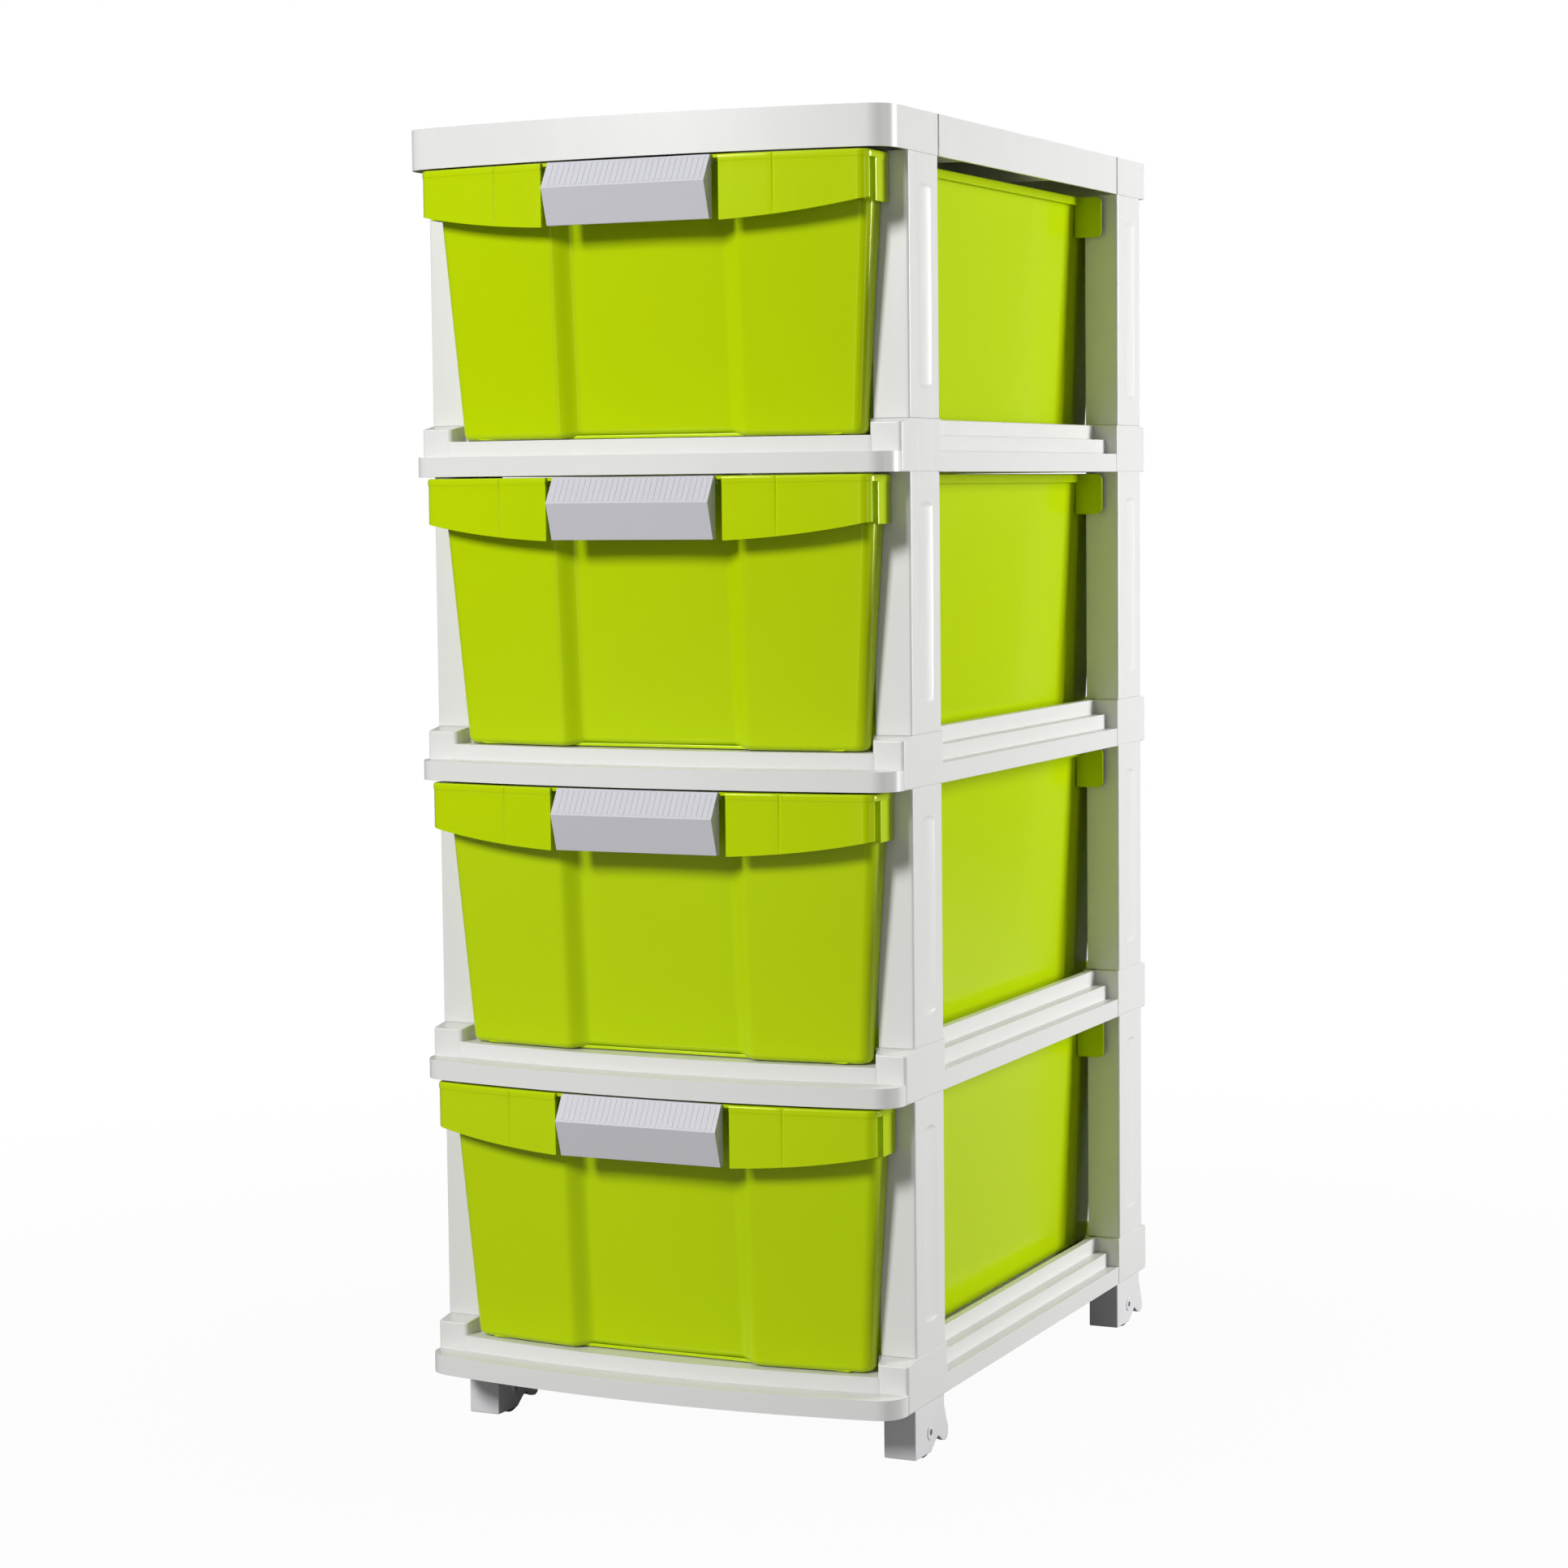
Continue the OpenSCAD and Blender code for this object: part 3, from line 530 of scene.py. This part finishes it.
def on_outer_face(edge, margin):
    """Whether an edge lies in the post's outer face, at least a margin from its front and rear."""
    outer_face, reach = half_width - 0.0001, post_depth / 2 - margin
    return all(v.co.x > outer_face and abs(v.co.y - post_middle) < reach for v in edge.verts)


pick(post, "EDGE", lambda e: span(e, 2) > 0.1 and on_outer_face(e, 0.002))
bpy.ops.mesh.dissolve_edges()
pick(post, "EDGE", lambda e: span(e, 2) > 0.1 and on_outer_face(e, -0.001))
bpy.ops.mesh.bevel(offset=0.002, segments=4)
face_out(post)

trough_half, trough_depth = 0.0135, 0.0013
trough_radius = (trough_half ** 2 + trough_depth ** 2) / (2 * trough_depth)
trough_inset, trough_end, end_squash = 0.021, 0.0055, 0.40
bpy.ops.object.select_all(action="DESELECT")
bpy.ops.mesh.primitive_uv_sphere_add(segments=192, ring_count=64, radius=trough_radius)
trough = bpy.context.object
trough_reach = (post_high - post_low) / 2 - trough_inset - trough_end
for point in trough.data.vertices:
    stretch = math.copysign(trough_reach, point.co.z) if abs(point.co.z) > 1e-5 else 0
    point.co.z = point.co.z * end_squash + stretch
trough_place = (half_width - trough_depth + trough_radius, post_middle, (post_low + post_high) / 2)
trough.data.transform(Matrix.Translation(trough_place))
shape_with(post, "BOOLEAN", operation="DIFFERENCE", solver="EXACT", object=trough)
bpy.data.objects.remove(trough)
face_out(post)
pick(
    post, "EDGE",
    lambda e: on_outer_face(e, 0.004) and all(abs(v.co.x - half_width) < 1e-5 for v in e.verts),
)
bpy.ops.mesh.mark_sharp()
soften(post, width=0.0006, segments=2, angle=50)

corners = ("front_left", "front_right", "rear_left", "rear_right")
for tier in range(4):
    for corner in corners:
        name = f"post_{tier + 1}_{corner}"
        upright = copied(
            post, f"{name}_moulding", (0, 0, tier * tier_pitch),
            flip_x=corner.endswith("left"), flip_y=corner.startswith("rear"),
        )
        finish_piece(upright, "tower", frame_white, "white_plastic", name)
bpy.data.objects.remove(post)


# ---------------------------------------------------------------------------
# Drawers. Each is one green moulding: a tray with leaning walls, a bowed front
# with a sunk field, a lip with a notch for the handle, a turned-down rim, and
# two ears that stop it behind the front posts. It slides on a frame's shelf.
drawer_green = moulded_plastic(
    "drawer_green", pale=(0.50, 0.67, 0.0), deep=(0.47, 0.63, 0.0),
    smooth=0.19, worn=0.23, peel_scale=600, peel_depth=0.00003,
)
drawer_green.node_tree.nodes["Principled BSDF"].inputs["Specular Tint"].default_value = (1.0, 1.0, 0.4, 1)
drawer_low = floor_gap + 0.0266
drawer_height = 0.1965
drawer_high = drawer_low + drawer_height
drawer_wall = 0.0024
front_lean = math.tan(math.radians(3.9))
tray_lean = math.tan(math.radians(2.6))
rear_lean = math.tan(math.radians(0.5))
drawer_front_end = post_front - 0.001


def drawn_sheet(name, columns, rows, place):
    """A sheet pulled from a flat grid, each point put where the drawing has it."""
    bpy.ops.object.select_all(action="DESELECT")
    bpy.ops.mesh.primitive_grid_add(x_subdivisions=columns, y_subdivisions=rows, size=1)
    sheet = bpy.context.object
    sheet.name = name
    for point in sheet.data.vertices:
        point.co = place(round((point.co.x + 0.5) * columns), round((point.co.y + 0.5) * rows))
    face_out(sheet)
    return sheet


def aim_faces(sheet, spot, way):
    """Turns the sheet over if its face nearest the spot doesn't look this way."""
    nearest = min(sheet.data.polygons, key=lambda face: (face.center - Vector(spot)).length)
    if nearest.normal.dot(Vector(way)) < 0:
        sheet.data.flip_normals()


field_half, field_slope, field_depth = 0.0765, 0.017, 0.0095
foot_half, foot_reach, foot_turn, front_corner = 0.1615, 0.025, 0.0048, 0.009


def field_share(x):
    """How fully the sunk field has set in at x: 0 beside it and 1 in its middle."""
    share = min(1, max(0, (field_half - abs(x)) / field_slope))
    return share * share * (3 - 2 * share)


def front_face_y(x, reach):
    """Where the drawer's bowed front stands at x, with the sunk field in its middle."""
    return post_front + bow(x) - reach + field_depth * field_share(x)


def turn_angles(count, step):
    """The first angles of a turn, in radians, a step of degrees apart."""
    return [math.radians(step * k) for k in range(count)]


def front_outline(z, inset):
    """The drawer's front seen from above at one height, from its left end to its right end."""
    half = foot_half + z * front_lean - inset
    reach = foot_reach + z * front_lean - inset
    corner = front_corner - inset * 0.8
    straight = half - corner
    beside_field, slope_start, slope_run = 0.079, 0.078, 0.0195
    across = [straight * k / 6 + beside_field * (6 - k) / 6 for k in range(6, 0, -1)]
    across += [slope_start - slope_run * k / 12 for k in range(13)] + [0.045, 0.030, 0.015]
    across = [-x for x in across] + [0.0] + across[::-1]
    face = [(x, front_face_y(x, reach)) for x in across]
    turn_y = face[0][1] + corner
    right = [(straight + corner * math.sin(a), turn_y - corner * math.cos(a)) for a in turn_angles(10, 10)[1:]]
    right += [(half, turn_y + (drawer_front_end - turn_y) * k / 2) for k in (1, 2)]
    return [(-x, y) for x, y in right[::-1]] + face + right


def wall_rows(top, steps):
    """Inset and height of each row of a wall: a quarter turn at the foot, then straight up."""
    rows = [(foot_turn * (1 - math.sin(a)), foot_turn * (1 - math.cos(a))) for a in turn_angles(7, 15)]
    return rows + [(0, foot_turn + (top - foot_turn) * k / steps) for k in range(1, steps + 1)]


front_rows = wall_rows(0.1955, 6)
front_lines = [front_outline(z, inset) for inset, z in front_rows]
foot_inset, field_setback = 0.0062, 0.0045
field_lift, lift_fades_at = 0.0024, 0.06


def front_place(column, row):
    """Rows run from the rear of the foot, forward under it and up the face; the field's foot is higher."""
    if row < 2:
        x, y = front_outline(0, foot_inset)[column]
        return (x, y + field_setback * field_share(x) if row else drawer_front_end, drawer_low)
    x, y = front_lines[row - 2][column]
    z = front_rows[row - 2][1]
    return (x, y, drawer_low + z + field_lift * field_share(x) * max(0, 1 - z / lift_fades_at))


front_shell = drawn_sheet("front_shell", len(front_lines[0]) - 1, len(front_rows) + 1, front_place)
aim_faces(front_shell, (0, post_front - 0.025, drawer_low + 0.08), (0, -1, 0))
shape_with(front_shell, "SOLIDIFY", thickness=drawer_wall, offset=-1)
soften(front_shell, width=0.0006, segments=2, angle=60)

tray_half, tray_rear, tray_corner = 0.158, post_front + 0.501, 0.020
crease_high_y, crease_slant, crease_height = post_front + 0.443, 0.021, 0.0009


def rear_turn(half, rear, corner):
    """From the rear end of the right side, round the corner, to the middle of the rear."""
    centre_x, centre_y = half - corner, rear - corner
    turn = [(centre_x + corner * math.cos(a), centre_y + corner * math.sin(a)) for a in turn_angles(10, 10)]
    return turn + [(centre_x * (1 - k / 4), rear) for k in range(1, 5)]


def with_left_side(right):
    """A right half that ends in the middle, led into by its mirror image."""
    return [(-x, y) for x, y in right] + right[-2::-1]


def tray_outline(z, inset):
    """The tray from its left front end round the rear to its right front end."""
    half = tray_half - (drawer_height - z) * tray_lean - inset
    rear = tray_rear - (drawer_height - z) * rear_lean - inset
    crease = crease_high_y - crease_slant * (1 - z / drawer_height)
    near = front_face_y(half, foot_reach + z * front_lean) + drawer_wall / 2
    right = [(half, near + (crease - near) * k / 6) for k in range(7)]
    right += [(half + crease_height, crease + 0.0016), (half + crease_height, crease + 0.012)]
    right += rear_turn(half + crease_height, rear, tray_corner - inset)
    return with_left_side(right)


tray_rows = wall_rows(0.1950, 5)
tray_lines = [tray_outline(z, inset) for inset, z in tray_rows]
tray_low = drawer_low + 0.0001
tray = drawn_sheet(
    "tray", len(tray_lines[0]) - 1, len(tray_rows) - 1,
    lambda column, row: (*tray_lines[row][column], tray_low + tray_rows[row][1]),
)
pick(tray, "EDGE", lambda e: all(v.co.z < tray_low + 0.0001 for v in e.verts))
bpy.ops.mesh.edge_face_add()
face_out(tray)
aim_faces(tray, (0, post_rear, drawer_low + 0.1), (0, 1, 0))
shape_with(tray, "SOLIDIFY", thickness=drawer_wall, offset=-1)
soften(tray, width=0.0006, segments=2, angle=60)

lip_front, lip_half, lip_corner = post_front - 0.055, 0.1788, 0.010
lip_middle_drop, lip_rise = 0.047, 0.014
notch_half = 0.0705


def smile(x):
    """Height of the lip's lower edge under its top."""
    return lip_middle_drop - lip_rise * (abs(x) / lip_half) ** 2.6


# The lip's skirt ends in a free edge at the corner, while the band along its top
# runs on to the posts; behind the edge lie a hollow and a flat return plate.
lip_groove = {0.1101: 0.0004, 0.1107: 0.0008, 0.1113: 0.0004}
groove_past = 0.1125
lip_across = (notch_half, 0.076, 0.084, 0.092, 0.100, 0.106, 0.1095, *lip_groove, 0.1119, groove_past)
lip_line = [(x, lip_front + bow(x)) for x in lip_across]
lip_line += [(x, y) for x, y in bowed_outline(lip_half, lip_front, lip_corner, 120, 14) if x > groove_past]
skirt_end = ((0.0014, 0.0325), (0.0032, 0.0322), (0.0052, 0.0316))
skirt_line = lip_line[:-3] + [(lip_half - inward_by, post_front - y) for inward_by, y in skirt_end]
# Each row: how far the band's point is ahead of the posts, then how far the point
# of the plate below it lies inwards and ahead of them
for band_y, inward_by, skirt_y in (
    (0.0290, 0.0062, 0.0300), (0.0270, 0.0066, 0.0270), (0.0250, 0.0060, 0.0247),
    (0.0235, 0.0028, 0.0237), (0.0222, 0.0006, 0.0229), (0.0214, 0.0001, 0.0219),
    (0.0150, 0.0001, 0.0150), (0.0080, 0.0001, 0.0080), (0.0010, 0.0001, 0.0010),
):
    lip_line.append((lip_half, post_front - band_y))
    skirt_line.append((lip_half - inward_by, post_front - skirt_y))
# Inset and drop of each row over the lip's top and down its band
lip_rows = [
    ("in", 0), (0.0060, 0), (0.0016, 0), (0.0009, 0.0002),
    (0.0003, 0.0007), (0, 0.0016), (0, 0.0046), (0.0002, 0.0050),
]
skirt_rows, skirt_inset, band_drop = 5, 0.0004, 0.0054
face_top_reach = foot_reach + drawer_height * front_lean
hidden, inner_end = 0.0022, 0.1554


def skirt_drop(column):
    """How far the skirt, and the plate that it turns into, hangs under the lip's top."""
    from_end = len(lip_line) - column
    if from_end > 10:
        return smile(lip_line[column][0])
    return 0.0335 if from_end > 7 else 0.0350


def lip_place(column, row):
    """Rows run from the inner edge over the lip's top, down its band and down its skirt."""
    x, y = lip_line[column]
    before, after = lip_line[max(column - 1, 0)], lip_line[min(column + 1, len(lip_line) - 1)]
    along = Vector((after[0] - before[0], after[1] - before[1])).normalized()
    inward = Vector((-along.y, along.x))
    groove = lip_groove.get(x, 0)
    if row >= len(lip_rows):
        share = (row - len(lip_rows)) / skirt_rows
        x, y = skirt_line[column]
        inset = groove * (1 - share * 0.5) + skirt_inset
        z = drawer_high - band_drop - (skirt_drop(column) - band_drop) * share
        return (x + inward.x * inset, y + inward.y * inset, z)
    inset, drop = lip_rows[row]
    if inset == "in":
        inner_x = min(x, inner_end)
        inner_y = front_face_y(inner_x, face_top_reach) + hidden
        return (inner_x, inner_y if x < inner_end + 0.0006 else max(inner_y, y), drawer_high)
    inset += groove
    return (x + inward.x * inset, y + inward.y * inset, drawer_high - drop)


lip_right = drawn_sheet("lip", len(lip_line) - 1, len(lip_rows) + skirt_rows, lip_place)
aim_faces(lip_right, (0.13, lip_front, drawer_high - 0.02), (0, -1, 0))
shape_with(lip_right, "SOLIDIFY", thickness=drawer_wall, offset=-1)
soften(lip_right, width=0.0005, segments=2, angle=60)
lip_left = copied(lip_right, "lip", flip_x=True)

notch_right = (0.015, 0.030, 0.045, 0.060, 0.0625, 0.065, 0.0675, notch_half)
notch_line = [-x for x in notch_right[::-1]] + [0] + list(notch_right)
notch_front = post_front - 0.0499


def notch_place(column, row):
    """One row along the front of the notch and one over the drawer's front wall."""
    x = notch_line[column]
    return (x, front_face_y(x, face_top_reach) + hidden if row else notch_front, drawer_high)


notch_plate = drawn_sheet("notch_plate", len(notch_line) - 1, 1, notch_place)
aim_faces(notch_plate, (0, post_front - 0.04, drawer_high), (0, 0, 1))
shape_with(notch_plate, "SOLIDIFY", thickness=drawer_wall, offset=-1)

rim_half, rim_rear, rim_corner, rim_wall = 0.162, post_front + 0.5015, 0.020, 0.0020
# Inset and drop of each row over the rim's top and down its turned edge
rim_rows = [(0.0066, 0), (0.0020, 0), (0.0008, 0.0002), (0.0002, 0.0008), (0, 0.0020), (0, 0.0070)]


def rim_outline(inset):
    """The rim from its left front end round the rear to its right front end."""
    half, side_end = rim_half - inset, post_rear - 0.04
    right = [(half, drawer_front_end + (side_end - drawer_front_end) * k / 5) for k in range(6)]
    return with_left_side(right + rear_turn(half, rim_rear - inset, rim_corner - inset))


rim_lines = [rim_outline(inset) for inset, drop in rim_rows]
rim = drawn_sheet(
    "rim", len(rim_lines[0]) - 1, len(rim_rows) - 1,
    lambda column, row: (*rim_lines[row][column], drawer_high - rim_rows[row][1]),
)
aim_faces(rim, (0.16, 0, drawer_high), (0, 0, 1))
shape_with(rim, "SOLIDIFY", thickness=rim_wall, offset=-1, use_even_offset=True)
soften(rim, width=0.0004, segments=2, angle=60)

ear_front, ear_wall, ear_height, ear_reach = post_front + 0.438, 0.003, 0.033, 0.181
ears = []
for side in (-1, 1):
    x_low, x_high = sorted((side * tray_half, side * ear_reach))
    ear = block(
        "ear",
        (x_low, ear_front, drawer_high - ear_height), (x_high, ear_front + ear_wall, drawer_high - 0.0002),
    )
    pick(ear, "EDGE", lambda e: all(abs(v.co.x) > 0.180 for v in e.verts) and span(e, 1) > 0.001)
    bpy.ops.mesh.bevel(offset=0.005, segments=5)
    only(ear)
    soften(ear, width=0.0005, segments=2, angle=50)
    ears.append(ear)
drawer_body = join("drawer_moulding_1", front_shell, tray, lip_left, lip_right, notch_plate, rim, *ears)
finish_piece(drawer_body, "drawer_1", drawer_green, "green_plastic", "drawer_1")
for k in (1, 2, 3):
    twin = copied(drawer_body, f"drawer_moulding_{k + 1}", (0, 0, k * tier_pitch))
    finish_piece(twin, f"drawer_{k + 1}", drawer_green, "green_plastic", f"drawer_{k + 1}")


# ---------------------------------------------------------------------------
# Handles. A grey moulding, hollow behind, fills the notch of each lip: a sloped
# face with fine ribs above a ridge and a smooth face below it. A tongue that
# slides in under the notch holds it.
handle_grey = moulded_plastic(
    "handle_grey", pale=(0.60, 0.60, 0.64), deep=(0.57, 0.57, 0.61),
    smooth=0.36, worn=0.46, peel_scale=800, peel_depth=0.00006,
)
handle_half, handle_wall = 0.0645, 0.003
handle_foot = drawer_high - 0.045
ridge_z = drawer_high - 0.0185
brow_y, ridge_y = post_front - 0.0524, post_front - 0.0634


def handle_block(name, half, brow, ridge, foot, rear, low, high):
    """A bar whose front slopes out from its brow to the ridge and back in to its foot."""
    shape = block(name, (-half, ridge, low), (half, rear, high))
    slice_at(shape, (ridge_z,), (0, 0, 1))
    for point in shape.data.vertices:
        if point.co.y < ridge + 1e-5:
            if point.co.z > ridge_z + 1e-5:
                point.co.y = brow
            elif point.co.z < ridge_z - 1e-5:
                point.co.y = foot
    return shape


handle = handle_block(
    "handle", handle_half, brow=brow_y, ridge=ridge_y, foot=post_front - 0.0549, rear=notch_front,
    low=handle_foot, high=drawer_high,
)
hollow = handle_block(
    "hollow", handle_half - handle_wall, brow=post_front - 0.0502, ridge=ridge_y + handle_wall,
    foot=post_front - 0.0519, rear=post_front - 0.040,
    low=handle_foot - 0.001, high=drawer_high - handle_wall,
)
shape_with(handle, "BOOLEAN", operation="DIFFERENCE", solver="EXACT", object=hollow)
bpy.data.objects.remove(hollow)
face_out(handle)
soften(handle, width=0.0009, segments=3, angle=25)

tongue_half, tongue_low, tongue_high = handle_half - 0.002, drawer_high - 0.0057, drawer_high - 0.0027
tongue = block(
    "tongue", (-tongue_half, post_front - 0.0515, tongue_low), (tongue_half, post_front - 0.0409, tongue_high)
)
soften(tongue, width=0.0005)

rib_count, grip_half, grip_deep, grip_proud = 28, 0.0013, 0.0003, 0.0005
slope = math.atan2(brow_y - ridge_y, drawer_high - ridge_z)
lean_back = Matrix.Translation((0, brow_y, drawer_high)) @ Matrix.Rotation(-slope, 4, "X")
grip_ribs = []
for k in range(1, rib_count + 1):
    x = handle_half * (2 * k / (rib_count + 1) - 1)
    rib = block("rib", (x - grip_half, -grip_deep, -0.0200), (x + grip_half, grip_proud, -0.0014))
    soften(rib, width=0.00025)
    rib.data.transform(lean_back)
    grip_ribs.append(rib)
handle_body = join("handle_moulding_1", handle, tongue, *grip_ribs)
finish_piece(handle_body, "drawer_1", handle_grey, "grey_plastic", "handle_1")
for k in (1, 2, 3):
    twin = copied(handle_body, f"handle_moulding_{k + 1}", (0, 0, k * tier_pitch))
    finish_piece(twin, f"drawer_{k + 1}", handle_grey, "grey_plastic", f"handle_{k + 1}")


# ---------------------------------------------------------------------------
# Casters. A moulded hood turns on a steel stem and covers most of its wheel:
# a flat front plate, a rear bulge with a notch below it, and an axle boss on
# each side. The wheel has a dished side, a hub and a rounded tread.
hood_white = moulded_plastic(
    "hood_white", pale=(0.76, 0.76, 0.77), deep=(0.72, 0.72, 0.73),
    smooth=0.34, worn=0.46, peel_scale=900, peel_depth=0.00006,
)
tyre_grey = moulded_plastic(
    "tyre_grey", pale=(0.075, 0.073, 0.071), deep=(0.055, 0.054, 0.053),
    smooth=0.55, worn=0.75, peel_scale=1400, peel_depth=0.0001,
)
stem_x, stem_y, trail = 0.1725, post_front + 0.028, 0.016
wheel_radius, wheel_width, hood_half = 0.019, 0.017, 0.0125
axle_y = stem_y + trail
axle_place = (stem_x, axle_y, wheel_radius)
# The hood's side view in millimetres: behind the stem, and above the floor
hood_points = (
    (-12, 4.5), (-12, 43), (-10, 45), (43, 45), (44, 42), (44, 33.3), (48, 23.4), (51.5, 15.75), (52, 10.8),
    (50.5, 7.2), (47, 5.85), (40, 7.2), (32, 12.6), (27, 9.9), (18, 3.6),
)
bpy.ops.object.select_all(action="DESELECT")
bpy.ops.mesh.primitive_circle_add(vertices=len(hood_points), fill_type="NGON", radius=0.02)
hood = bpy.context.object
hood.name = "hood"
for point, (y, z) in zip(hood.data.vertices, hood_points):
    point.co = (stem_x - hood_half, stem_y + y / 1000, z / 1000)
pick(hood, "FACE", lambda face: True)
bpy.ops.mesh.extrude_region_move(TRANSFORM_OT_translate={"value": (2 * hood_half, 0, 0)})
face_out(hood)
pick(hood, "EDGE", lambda e: span(e, 0) > 0.01 and min(v.co.y for v in e.verts) > stem_y + 0.020)
bpy.ops.mesh.bevel(offset=0.0012, segments=3, clamp_overlap=True)
only(hood)
soften(hood, width=0.0009, segments=3, angle=45)


def pin(name, radius, length, place, along="X", sides=48):
    """A round bar of a length, with its middle at a place."""
    bpy.ops.object.select_all(action="DESELECT")
    turn = (0, math.pi / 2, 0) if along == "X" else (0, 0, 0)
    bpy.ops.mesh.primitive_cylinder_add(
        vertices=sides, radius=radius, depth=length, location=place, rotation=turn,
    )
    bar = bpy.context.object
    bar.name = name
    bpy.ops.object.transform_apply(location=True, rotation=True, scale=True)
    return bar


def cut(piece, cutter, operation="DIFFERENCE"):
    """Takes a cutter out of a piece, or joins it on, and removes the cutter."""
    shape_with(piece, "BOOLEAN", operation=operation, solver="EXACT", object=cutter)
    bpy.data.objects.remove(cutter)


boss_sink = 0.0013
for side in (-1, 1):
    boss_place = (stem_x + side * (hood_half - boss_sink), axle_y, wheel_radius)
    boss = pin("boss", 0.0058, 0.0040, boss_place)
    soften(boss, width=0.0006, segments=3)
    cut(hood, boss, "UNION")
well_radius, gap_half, pocket_half = 0.0205, 0.0099, 0.0097
well = pin("well", well_radius, 0.020, axle_place, sides=96)
well_gap = block(
    "well_gap",
    (stem_x - gap_half, stem_y - 0.0095, -0.001), (stem_x + gap_half, axle_y + 0.0201, wheel_radius + 0.0004),
)
rear_pocket = block(
    "rear_pocket",
    (stem_x - pocket_half, axle_y + 0.0190, -0.002), (stem_x + pocket_half, stem_y + 0.0450, 0.024),
)
axle_hole = pin("axle_hole", 0.0025, 0.040, axle_place)
stem_hole = pin("stem_hole", 0.00405, 0.030, (stem_x, stem_y, 0.045), along="Z")
for cutter in (well, well_gap, rear_pocket, axle_hole, stem_hole):
    cut(hood, cutter)
face_out(hood)
only(hood)
bpy.ops.object.shade_smooth_by_angle(angle=math.radians(32))

tread, dish_depth, web, wheel_slope = 0.0042, 0.0030, 0.0064, 0.0006
wheel = pin("wheel", wheel_radius, wheel_width, axle_place, sides=96)
for side in (-1, 1):
    pick(wheel, "FACE", lambda f: f.normal.x * side > 0.9)
    bpy.ops.mesh.inset(thickness=tread)
    bpy.ops.mesh.inset(thickness=wheel_slope, depth=-dish_depth)
    bpy.ops.mesh.inset(thickness=web)
    bpy.ops.mesh.inset(thickness=wheel_slope + 0.0002, depth=dish_depth)
only(wheel)
cut(wheel, pin("wheel_hole", 0.00255, 0.040, axle_place))
face_out(wheel)
soften(wheel, width=0.0009, segments=3, angle=40)

axle_pitch = 0.444
for corner in corners:
    across_x = -2 * stem_x if corner.endswith("left") else 0
    along_y = axle_pitch if corner.startswith("rear") else 0
    casing = copied(hood, f"hood_{corner}", (across_x, along_y, 0))
    roller = copied(wheel, f"wheel_{corner}", (across_x, along_y, 0))
    finish_piece(casing, f"caster_swivel_{corner}", hood_white, "caster_plastic", f"caster_hood_{corner}")
    finish_piece(roller, f"caster_roller_{corner}", tyre_grey, "wheel_rubber", f"caster_wheel_{corner}")
bpy.data.objects.remove(hood)
bpy.data.objects.remove(wheel)


# ---------------------------------------------------------------------------
# Stems and axles. Each stem is turned from steel, with a flange, and sits in the
# base frame, and each axle is a plain steel pin. Their solids are shown as they are.
turned_steel = moulded_plastic(
    "turned_steel", pale=(0.63, 0.63, 0.64), deep=(0.56, 0.56, 0.58),
    smooth=0.24, worn=0.38, peel_scale=1800, peel_depth=0.00003,
)
turned_steel.node_tree.nodes["Principled BSDF"].inputs["Metallic"].default_value = 1.0
for corner in corners:
    for node in (f"caster_stem_{corner}", f"caster_axle_{corner}"):
        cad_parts[node].data.materials.clear()
        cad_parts[node].data.materials.append(turned_steel)
